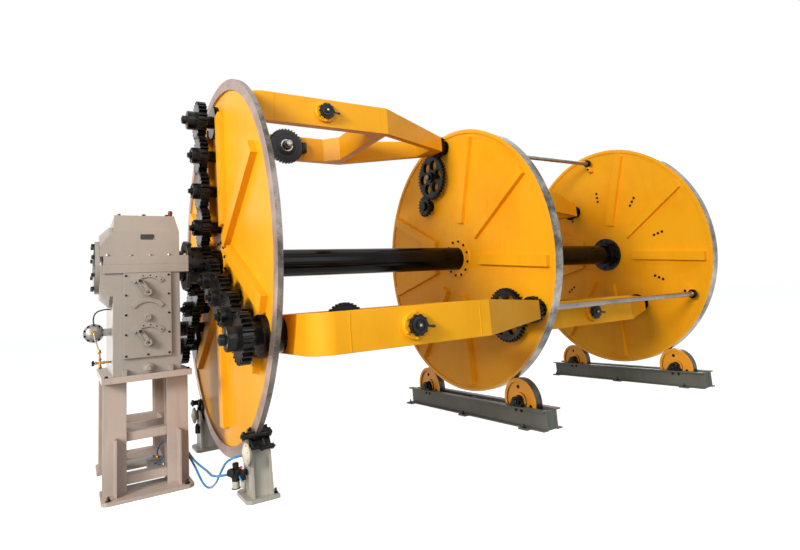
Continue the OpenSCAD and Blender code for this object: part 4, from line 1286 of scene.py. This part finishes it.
@dataclass
class CradleDressing(SubAssembly):
    """Rolled frames, handwheels, brake wheels and seams of the five cradles."""

    half: float = 460.0
    wheel_front: float = -518.0
    wheel_radius: float = 52.0
    brake_front: float = 354.0
    brake_teeth: int = 34
    spindle_reach: float = 74.0
    pintle_x: float = 670.0
    first_start: float = 112.0
    depth: float = 206.0
    seam_x: tuple[float, float] = (190.0, 1010.0)
    seam_mm: float = 4.5
    corner: float = 70.0
    bend_share: float = 0.69

    def handwheel(self, cradle: Cradle) -> None:
        """Flutes a handwheel's rim and gives it its lever pin, its nut and the painted ring behind.

        Args:
            cradle: The cradle it is on.
        """
        hub = self.datum.at(cradle.x + self.pintle_x, cradle.y + self.wheel_front, cradle.z)
        lobe = turned([(6, -10.5), (7, -9), (7, 9), (6, 10.5)], 12)
        lobes = [facing(hub + Vector((across, 11 * MM, up)), NEAR)
                 for across, up in around(10, self.wheel_radius)]
        face = turned([(46, -0.5), (45, 4), (40, 6), (30, 6), (28, 2), (21, 2), (20, 9), (17, 11), (10, 11),
                       (9, 7)], 36)
        lever = turned([(6, 0), (6, 62), (8, 64), (8, 76), (6, 78)], 14)
        placed(lever, hub + Vector((20, 8, -4)) * MM, Vector((1, -0.05, -0.12)))
        self.dress(merge(stamp(lobe, lobes), placed(face, hub, NEAR), lever), f"handwheel_{cradle.name}",
                   Finish.NYLON, cradle.body)
        ring = turned([(75, -13.8), (75, 10), (72, 13), (36, 13), (34, 10), (34, -13.8)], 48, hollow=True)
        bolts = [facing(hub + Vector((across, 32 * MM, up)), NEAR) for across, up in around(6, 67.5, 0.5)]
        self.dress(merge(placed(ring, hub - NEAR * 44 * MM, NEAR), stamp(hex_head(14, 8), bolts)),
                   f"pintle_ring_{cradle.name}", Finish.CRADLE_ENAMEL, cradle.body)
        nut = placed(hex_head(17, 8, washer=False), hub + NEAR * 7 * MM, NEAR)
        self.dress(nut, f"handwheel_nut_{cradle.name}", Finish.ZINC, cradle.body)

    def shoes(self, hub: Vector) -> list[Object]:
        """Sets a padded shoe, its arm and its pin on each side of a brake wheel.

        Args:
            hub: The middle of the wheel's front.

        Returns:
            The pieces of both sides.
        """
        pieces = []
        for side in (-1, 1):
            shoe = block((-14, -20, -46), (14, 22, 46), 4)
            with editing(shoe):
                pick_faces(lambda centre, normal: normal.x * side < -0.9)
                bpy.ops.mesh.inset(thickness=8 * MM, depth=4 * MM)
            arm = block((-10, -9, -16), (10, 60, 16), 3)
            pin = turned([(7, -14), (9, -12), (9, 58), (7, 60)], 14)
            pieces += [placed(shoe, hub + Vector((side * 168, 22, 0)) * MM),
                       placed(arm, hub + Vector((side * 170, 22, 0)) * MM),
                       placed(pin, hub + Vector((side * 168, 0, -24)) * MM, UP)]
        return pieces

    def brake_wheel(self, cradle: Cradle) -> None:
        """Gives a bobbin brake wheel its steps, its teeth, its bright ring and the clamp's shoes.

        Args:
            cradle: The cradle it is on.
        """
        hub = self.datum.at(cradle.x + self.pintle_x, cradle.y + self.brake_front, cradle.z)
        face = turned([(126, -0.5), (125, 3), (104, 3), (102, 0.6), (84, 0.6), (82, 6), (60, 8), (57, 3)], 56)
        dots = [facing(hub + Vector((across, -3 * MM, up)), NEAR) for across, up in around(6, 114, 0.25)]
        teeth = [Matrix.Translation(hub) @ Matrix.Rotation(math.tau * k / self.brake_teeth, 4, "Y")
                 for k in range(self.brake_teeth)]
        wheel = merge(placed(face, hub, NEAR), stamp(socket_head(9, 3), dots),
                      stamp(block((-6.5, 2, 134), (6.5, 44, 151), 2.0), teeth), *self.shoes(hub))
        self.dress(wheel, f"brake_wheel_face_{cradle.name}", Finish.NYLON, cradle.body)
        bright = turned([(54, 0), (54, 9), (52, 11), (42, 11), (40, 8), (40, 0)], 44, hollow=True)
        sleeve = turned([(34, 0), (34, 60), (32, 62), (30.3, 62), (30.3, 0)], 36, hollow=True)
        core = turned([(28, -0.5), (28, 3), (25, 5), (14, 5), (12, 2), (6, 2)], 32)
        ring = merge(placed(bright, hub, NEAR), placed(sleeve, hub, NEAR),
                     placed(core, hub + NEAR * self.spindle_reach * MM, NEAR))
        self.dress(ring, f"brake_wheel_ring_{cradle.name}", Finish.POLISHED_TUBE, cradle.body)

    def seams(self, cradle: Cradle) -> None:
        """Lays weld beads down the corners of the near and far side beams.

        Args:
            cradle: The cradle they are on.
        """
        beads = []
        for along in self.seam_x:
            x = cradle.x + self.first_start + along
            for side in (-1, 1):
                # The bead wavers a little as it goes down.
                beads.append(pipe([self.datum.at(x + 0.6 * math.sin(k), cradle.y + side * self.half,
                                                 cradle.z + (k / 8 - 0.5) * self.depth * 0.98)
                                   for k in range(9)], self.seam_mm, 2))
        self.dress(merge(*beads), f"beam_seams_{cradle.name}", Finish.CRADLE_ENAMEL, cradle.body)

    def bends(self, cradle: Cradle) -> None:
        """Rolls the two bends at the shaft end of a copy of a cradle's frame.

        Args:
            cradle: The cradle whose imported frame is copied.
        """
        frame = bpy.data.objects.new("frame", bpy.data.objects[cradle.body].data.copy())
        bpy.context.collection.objects.link(frame)
        start = self.datum.at(cradle.x + self.first_start, cradle.y, cradle.z)
        with editing(frame):
            bpy.ops.mesh.select_all(action="SELECT")
            bpy.ops.mesh.remove_doubles(threshold=0.01 * MM)
            bpy.ops.mesh.dissolve_limited(angle_limit=math.radians(1))
            bpy.ops.mesh.select_mode(type="EDGE")
            bpy.ops.mesh.select_all(action="DESELECT")
            # The upright edges on either side of each flat corner.
            mesh = bmesh.from_edit_mesh(frame.data)
            for edge in mesh.edges:
                low, high = (corner.co - start for corner in edge.verts)
                cut = low.x + self.half * MM - abs(low.y)
                upright = (high - low).xy.length < 0.1 * MM
                edge.select_set(upright and abs(cut - self.corner * MM) < MM)
            bmesh.update_edit_mesh(frame.data)
            bpy.ops.mesh.bevel(offset=self.bend_share * self.corner * MM, segments=8, affect="EDGES")
        soften(frame, 2.5)
        self.dress(frame, f"cradle_frame_{cradle.name}", Finish.CRADLE_ENAMEL, cradle.body, smooth=12.0)
        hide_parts(cradle.body)

    def build(self) -> None:
        """Dresses the five cradles."""
        first = [Cradle.on_circle(name, 0.0, FIRST_RADIUS, angle) for name, angle in TRAIN_ANGLES.items()]
        second = [Cradle.on_circle(name, DISC_PITCH + SECOND_SHIFT, SECOND_RADIUS, angle)
                  for name, angle in SECOND_ANGLES.items()]
        for cradle in first + second:
            self.bends(cradle)
            self.handwheel(cradle)
            self.brake_wheel(cradle)
            self.seams(cradle)


@dataclass
class RollerDressing(SubAssembly):
    """Hub caps, bolts and plates of the roller beams and their rollers."""

    beam_shift: float = 38.0
    block_x: float = 66.0
    block_face: float = 85.0
    block_foot: float = 163.0
    block_top: float = 217.0
    web_x: float = 53.0
    web_z: float = 112.0
    foot_x: float = 119.0
    foot_top: float = 12.0

    def place(self, number: int, side: int, x: float = 0.0, y: float = 0.0, z: float = ROLLER_Z) -> Vector:
        """A place at one roller.

        Args:
            number: The disc over the roller.
            side: -1 for the near roller, 1 for the far one, 0 for the beam's middle.
            x: Offset along the cage axis.
            y: Offset across it.
            z: Height above the floor.

        Returns:
            The place in the part's frame.
        """
        return self.datum.floor(DISC_PITCH * (number - 1) + self.beam_shift + x, side * ROLLER_Y + y, z)

    def rollers(self, number: int) -> None:
        """Caps each roller's axle and bolts its two cheeks together.

        Args:
            number: The disc over the rollers.
        """
        for name, side in SIDES.items():
            middle = self.place(number, side)
            body = f"roller_{number}_{name}"
            heads = [facing(middle + Vector((0, across, up)) + way * 19.5 * MM, way)
                     for way in (LEFT, RIGHT) for across, up in around(3, 104, 2 / 3)]
            bolt = merge(hex_head(17, 11), turned([(15, -0.5), (15, 1.5), (13, 2.5)], 24))
            self.dress(stamp(bolt, heads), f"roller_bolts_{number}_{name}", Finish.BLACKED_STEEL, body)
            hub = turned([(21, 0), (46, 0.5), (46, 6), (43, 9), (30, 9), (28, 11), (21, 11)], 36, hollow=True)
            hubs = stamp(hub, [facing(middle + way * 32 * MM, way) for way in (LEFT, RIGHT)])
            tip = turned([(20.6, -24), (20.6, 2), (18, 4), (8, 4), (7, 1)], 28)
            tips = stamp(tip, [facing(Vector((end.x, middle.y, middle.z)), way)
                               for end, way in zip(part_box(body), (LEFT, RIGHT))])
            self.dress(merge(hubs, tips), f"roller_hubs_{number}_{name}", Finish.BLACKED_STEEL, body)

    def blocks(self, number: int) -> None:
        """Bolts the pillow blocks down and puts a grease nipple and a cover on each.

        Args:
            number: The disc over the blocks.
        """
        seats = [(side, wall) for side in SIDES.values() for wall in (-1, 1)]
        bolts = [self.place(number, side, wall * self.block_x, y, self.block_foot)
                 for side, wall in seats for y in (-52, 52)]
        self.fasten(f"block_bolts_{number}", nut_on_stud(26, 24), bolts, UP)
        nipple = turned([(5, -1), (5, 5), (3, 6), (3, 10), (4, 11), (2, 13)], 10)
        tops = [facing(self.place(number, side, wall * self.block_x, 0, self.block_top), UP)
                for side, wall in seats]
        self.dress(stamp(nipple, tops), f"grease_nipples_{number}", Finish.BRASS)
        ring = turned([(38, -0.5), (38, 3), (35, 5), (27, 5), (26, 2), (26, -0.5)], 30, hollow=True)
        faces = [facing(self.place(number, side, wall * self.block_face), RIGHT * wall)
                 for side, wall in seats]
        self.dress(stamp(ring, faces), f"block_covers_{number}", Finish.BLACKED_STEEL)

    def beams(self, number: int) -> None:
        """Bolts the blocks through the channel webs and anchors the beam's feet.

        Args:
            number: The disc over the beam.
        """
        webs = [facing(self.place(number, side, wall * self.web_x, y, self.web_z), RIGHT * wall)
                for wall in (-1, 1) for side in SIDES.values() for y in (-30, 30)]
        self.dress(stamp(hex_head(20, 11), webs), f"web_bolts_{number}", Finish.BLACKED_STEEL)
        feet = [self.place(number, 0, wall * self.foot_x, y, self.foot_top)
                for wall in (-1, 1) for y in (-730, 0, 840)]
        self.fasten(f"beam_anchors_{number}", nut_on_stud(24, 28), feet, UP)

    def build(self) -> None:
        """Dresses rollers, blocks and beams under discs 2 and 3."""
        for step in (self.rollers, self.blocks, self.beams):
            for number in (2, 3):
                step(number)


ASSEMBLIES: tuple[type[SubAssembly], ...] = (
    AirLines, GearboxDressing, BrakeDressing, DiscDressing, GearTrainDressing, CradleDressing, RollerDressing)


def seen(tree: NodeTree) -> NodeSocket:
    """Tells the rays that should meet the plain background from those that only carry light.

    Args:
        tree: The floor's or the world's node tree.

    Returns:
        A socket that is 1 for the camera, mirrors and glass.
    """
    ray = add_node(tree, "ShaderNodeLightPath").outputs
    direct = add_node(tree, "ShaderNodeMath", {0: ray["Is Camera Ray"], 1: ray["Is Glossy Ray"]},
                      operation="MAXIMUM")
    return add_node(tree, "ShaderNodeMath", {0: direct.outputs[0], 1: ray["Is Transmission Ray"]},
                    operation="MAXIMUM").outputs[0]


@dataclass
class Studio:
    """The camera as it stood for the photograph, soft lamps and a white floor."""

    datum: Datum
    camera_at: Place = (-837.5, -3762.5, 991.25)
    yaw: float = 31.94
    pitch: float = 8.07
    roll: float = -4.29
    lens_mm: float = 23.77
    sensor_mm: float = 36.0
    shift: tuple[float, float] = (-0.00275, -0.0599)
    clip_m: tuple[float, float] = (0.05, 500.0)
    floor_m: float = 120.0

    def place_camera(self) -> None:
        """Sets the camera by its place and its three turns."""
        data = bpy.data.cameras.new("camera")
        data.sensor_width = self.sensor_mm
        data.lens = self.lens_mm
        data.shift_x, data.shift_y = self.shift
        data.clip_start, data.clip_end = self.clip_m
        camera = bpy.data.objects.new("camera", data)
        bpy.context.scene.collection.objects.link(camera)
        yaw, pitch, roll = (math.radians(turn) for turn in (self.yaw, self.pitch, self.roll))
        forward = Vector((math.sin(yaw) * math.cos(pitch), math.cos(yaw) * math.cos(pitch), math.sin(pitch)))
        level = forward.cross(UP).normalized()
        upright = level.cross(forward)
        right = math.cos(roll) * level + math.sin(roll) * upright
        up = math.cos(roll) * upright - math.sin(roll) * level
        turn = Matrix((right, up, -forward)).transposed().to_4x4()
        camera.matrix_world = Matrix.Translation(self.datum.floor(*self.camera_at)) @ turn
        bpy.context.scene.camera = camera

    def lamp(self, name: str, at: Vector, target: Vector, size: float, watts: float, tint: str) -> None:
        """Hangs one soft lamp.

        Args:
            name: The lamp's name.
            at: Where it hangs.
            target: What it points at.
            size: Width of its square face in metres.
            watts: Its power.
            tint: Its colour in hex.
        """
        data = bpy.data.lights.new(name, "AREA")
        data.size = size
        data.energy = watts
        data.color = linear(tint)[:3]
        lamp = bpy.data.objects.new(name, data)
        lamp.matrix_world = facing(at, at - target)
        lamp.visible_camera = False
        bpy.context.scene.collection.objects.link(lamp)

    def light(self) -> None:
        """Lights the machine from the left, with soft fills from the other sides and from above."""
        at, floor = self.datum.at, self.datum.floor
        middle = at(1500, 0, 0)
        self.lamp("left_lamp", at(-7800, -4600, 3100), middle, 2.6, 1000.0, "FFFAF0")
        self.lamp("near_lamp", at(2500, -9000, 3500), middle, 6.0, 285.0, "F7F9FF")
        self.lamp("low_lamp", floor(-4600, -6600, 900), at(2600, -300, -800), 3.0, 215.0, "FFF9F0")
        self.lamp("rear_lamp", at(9500, 4200, 3200), middle, 6.0, 420.0, "F7F9FF")
        self.lamp("far_lamp", at(-2600, 2700, -500), at(0, 500, -700), 1.6, 48.0, "FFFAF0")
        self.lamp("roof_lamp", at(1200, -600, 5400), middle, 6.0, 80.0, "FFFDF8")

    def surround(self) -> None:
        """Makes the world plain white to the eye and an even grey to the machine."""
        world = bpy.data.worlds.new("studio")
        bpy.context.scene.world = world
        tree = empty_tree(world)
        even = add_node(tree, "ShaderNodeBackground", {"Color": linear("E6E9EE"), "Strength": 0.22})
        white = add_node(tree, "ShaderNodeBackground", {"Color": (1.0, 1.0, 1.0, 1.0), "Strength": 1.0})
        both = add_node(tree, "ShaderNodeMixShader", {0: seen(tree), 1: even.outputs[0], 2: white.outputs[0]})
        add_node(tree, "ShaderNodeOutputWorld", {"Surface": both.outputs[0]})

    def floor(self) -> None:
        """Lays a floor that looks white and still takes the machine's shadow."""
        deselect()
        bpy.ops.mesh.primitive_plane_add(size=self.floor_m, location=(0, 0, 0))
        floor = bpy.context.object
        floor.name = "studio_floor"
        # Matt white floor: it glows to the eye, and sends only a little light back to the machine.
        material = bpy.data.materials.new("white_floor")
        tree = empty_tree(material)
        matt = add_node(tree, "ShaderNodeBsdfDiffuse", {"Color": (0.40, 0.40, 0.40, 1.0)})
        dull = add_node(tree, "ShaderNodeBsdfDiffuse", {"Color": (0.12, 0.12, 0.12, 1.0)})
        glow = add_node(tree, "ShaderNodeEmission", {"Color": (1.0, 1.0, 1.0, 1.0), "Strength": 0.92})
        lit = add_node(tree, "ShaderNodeAddShader", {0: matt.outputs[0], 1: glow.outputs[0]})
        both = add_node(tree, "ShaderNodeMixShader", {0: seen(tree), 1: dull.outputs[0], 2: lit.outputs[0]})
        add_node(tree, "ShaderNodeOutputMaterial", {"Surface": both.outputs[0]})
        floor.data.materials.append(material)

    def build(self) -> None:
        """Sets up the whole studio."""
        self.place_camera()
        self.light()
        self.surround()
        self.floor()
        bpy.context.scene.view_settings.view_transform = "Standard"


def mix_finishes(datum: Datum) -> dict[Finish, Material]:
    """Makes every finish once.

    Args:
        datum: Gives the cage axis to the turned rings.

    Returns:
        The materials by finish.
    """
    axis = (0.0, datum.axis_y, datum.axis_z)
    yellow = "F0AB1A"
    recipes = {
        # Signal yellow enamel on the cage's discs, fresh and glossy.
        Finish.CAGE_ENAMEL: Enamel("yellow_enamel", yellow, "E99C0C", "CC8E28", 0.4, 0.06, 0.22,
                                   specular=0.16),
        # The same enamel on the cradles, a little duller and with weld tint.
        Finish.CRADLE_ENAMEL: Enamel("yellow_enamel_cradle", "EFAA18", "E29A0E", "D89C38", 0.48, 0.03, 0.25,
                                     specular=0.18),
        # Warm grey enamel on the gearbox castings.
        Finish.GEARBOX_ENAMEL: Enamel("grey_enamel", "98918A", "8C857E", "77716A", 0.36, 0.12, 0.2),
        # The stand's enamel has yellowed to beige.
        Finish.STAND_ENAMEL: Enamel("beige_enamel", "B1A39B", "9F928A", "827870", 0.45, 0.08),
        # Roller beams in a greener, dustier grey, darkened all over as painted shade for their shadowed
        # channel webs.
        Finish.BEAM_ENAMEL: Enamel("green_grey_enamel", "696B65", "5B5D57", "4B4D48", 0.5, 0.03, 0.4),
        # Brake posts in pale grey.
        Finish.POST_ENAMEL: Enamel("pale_enamel", "A5A297", "949186", "78756A", 0.45, 0.15),
        # The brake chambers keep their off-white primer.
        Finish.CHAMBER_ENAMEL: Enamel("off_white_primer", "DDD8CA", "CFC9BA", "A8A190", 0.5, 0.05,
                                      cloud_mm=60.0, run_mm=9.0),
        # Blacked and oiled gear steel.
        Finish.BLACKED_STEEL: WorkedMetal("blacked_steel", "0D0D0E", "272625", 0.5, 0.2, specular=0.3),
        # The central tube under black lacquer.
        Finish.SHAFT_LACQUER: WorkedMetal("black_lacquer", "060607", "0B0B0B", 0.0, 0.16, 240.0,
                                          specular=0.14, grain_mm=30.0, grain_along=(0.1, 1.0, 1.0),
                                          grain_depth=0.05),
        # The brake ring's working face, rubbed to a warm brown.
        Finish.BRAKE_TRACK: TurnedSteel("rubbed_brake_steel", "A98F85", "C9B1A6", 0.38, axis),
        # Rims in bright rolled steel with painted sides.
        Finish.RIM_STEEL: TurnedSteel("rolled_rim_steel", "5C5955", "C4C0B9", 0.27, axis, yellow),
        # Disc 1's machined edge, dark with oil.
        Finish.EDGE_STEEL: TurnedSteel("machined_edge_steel", "443F3A", "9A938A", 0.28, axis),
        # Bright drawn guide tubes.
        Finish.POLISHED_TUBE: WorkedMetal("drawn_steel_tube", "918E89", "7C7974", 0.85, 0.28, 160.0,
                                          grain_mm=1.5, grain_along=(0.02, 1.0, 1.0), grain_depth=0.01),
        # Zinc plated bolts and nuts.
        Finish.ZINC: WorkedMetal("zinc_plate", "A8A59C", "86837A", 0.85, 0.36, 14.0, edge_mm=1.0),
        # Brass air fittings.
        Finish.BRASS: WorkedMetal("brass", "B98D3E", "94702F", 0.9, 0.3, 12.0, edge_mm=0.8),
        # The breather's copper-red cap.
        Finish.COPPER: WorkedMetal("copper", "7A3420", "5E2818", 0.6, 0.4, 12.0, edge_mm=0.8),
        # The shift cylinder's cast and anodised barrel.
        Finish.ACTUATOR_CAST: WorkedMetal("cast_aluminium", "8E8B86", "6F6C67", 0.7, 0.42, 30.0),
        # Black nylon of valves, knobs and gauges.
        Finish.NYLON: Moulded("black_nylon", "0B0B0C", "1C1C1D", 0.34, specular=0.25),
        # The red release ring on an air fitting.
        Finish.RED_NYLON: Moulded("red_nylon", "B3201A", "8E1814", 0.4),
        # The filter's milky bowl.
        Finish.GLAZED_BOWL: Moulded("milky_bowl_plastic", "C9C6B4", "B0AC98", 0.25, clear=0.25),
        # Blue polyurethane air hose.
        Finish.HOSE: Moulded("blue_polyurethane", "2079B8", "3290CA", 0.3, grain_mm=4.0, patch_mm=80.0),
        # Etched foil of the bare nameplate.
        Finish.PLATE_FOIL: WorkedMetal("etched_foil", "2B2A29", "3A3836", 0.6, 0.4, 16.0,
                                       grain_along=(0.05, 1.0, 1.0), edge_mm=0.6),
    }
    return {finish: recipe.build() for finish, recipe in recipes.items()}


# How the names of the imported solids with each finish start. The first finish that fits counts.
NODE_FINISHES: dict[Finish, tuple[str, ...]] = {
    Finish.BLACKED_STEEL: ("sun_gear", "brake_caliper", "roller_blocks", "disc_bearings", "hub_flange",
                           "gear_studs", "fittings_", "idler_", "transfer_"),
    Finish.STAND_ENAMEL: ("gearbox_stand",),
    Finish.GEARBOX_ENAMEL: ("gearbox_", "bearing_caps", "lever_"),
    Finish.ACTUATOR_CAST: ("shift_cylinder", "air_manifold"),
    Finish.POST_ENAMEL: ("brake_stand",),
    Finish.CHAMBER_ENAMEL: ("brake_chamber",),
    Finish.BRAKE_TRACK: ("brake_ring",),
    Finish.NYLON: ("air_regulator",),
    Finish.HOSE: ("air_hose",),
    Finish.BEAM_ENAMEL: ("roller_beam",),
    Finish.SHAFT_LACQUER: ("main_shaft",),
    Finish.CAGE_ENAMEL: ("disc_",),
    Finish.RIM_STEEL: ("rim_",),
    Finish.POLISHED_TUBE: ("guide_tubes",),
    Finish.CRADLE_ENAMEL: ("cradle_",),
}


def wear(node: Object, material: Material) -> None:
    """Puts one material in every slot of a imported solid."""
    for place in node.material_slots:
        place.material = material


def finish_nodes(nodes: dict[str, Object], finishes: dict[Finish, Material], datum: Datum) -> None:
    """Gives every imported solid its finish.

    Args:
        nodes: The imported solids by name.
        finishes: The materials.
        datum: Gives the rollers' own axes.
    """
    for name, side in SIDES.items():
        # The support rollers: dark rolled treads with yellow cheeks, turned about their own axle.
        axle = datum.floor(0, side * ROLLER_Y, ROLLER_Z)
        tread = TurnedSteel(f"roller_steel_{name}", "3B3835", "7A746C", 0.36, (0.0, axle.y, axle.z), "EFA11F")
        material = tread.build()
        for number in (2, 3):
            wear(nodes[f"roller_{number}_{name}"], material)
    for name, node in nodes.items():
        finish = next((found for found, starts in NODE_FINISHES.items() if name.startswith(starts)), None)
        if finish:
            wear(node, finishes[finish])


def main(frame: dict) -> None:
    """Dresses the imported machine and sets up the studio.
    """
    logging.basicConfig(level=logging.INFO, format="%(name)s: %(message)s")
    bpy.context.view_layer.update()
    datum = Datum.from_frame()
    finishes = mix_finishes(datum)
    finish_nodes(frame["nodes"], finishes, datum)
    for assembly in ASSEMBLIES:
        assembly(datum, finishes).build()
    Studio(datum).build()
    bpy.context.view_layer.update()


if __name__ == "__main__":
    main(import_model())
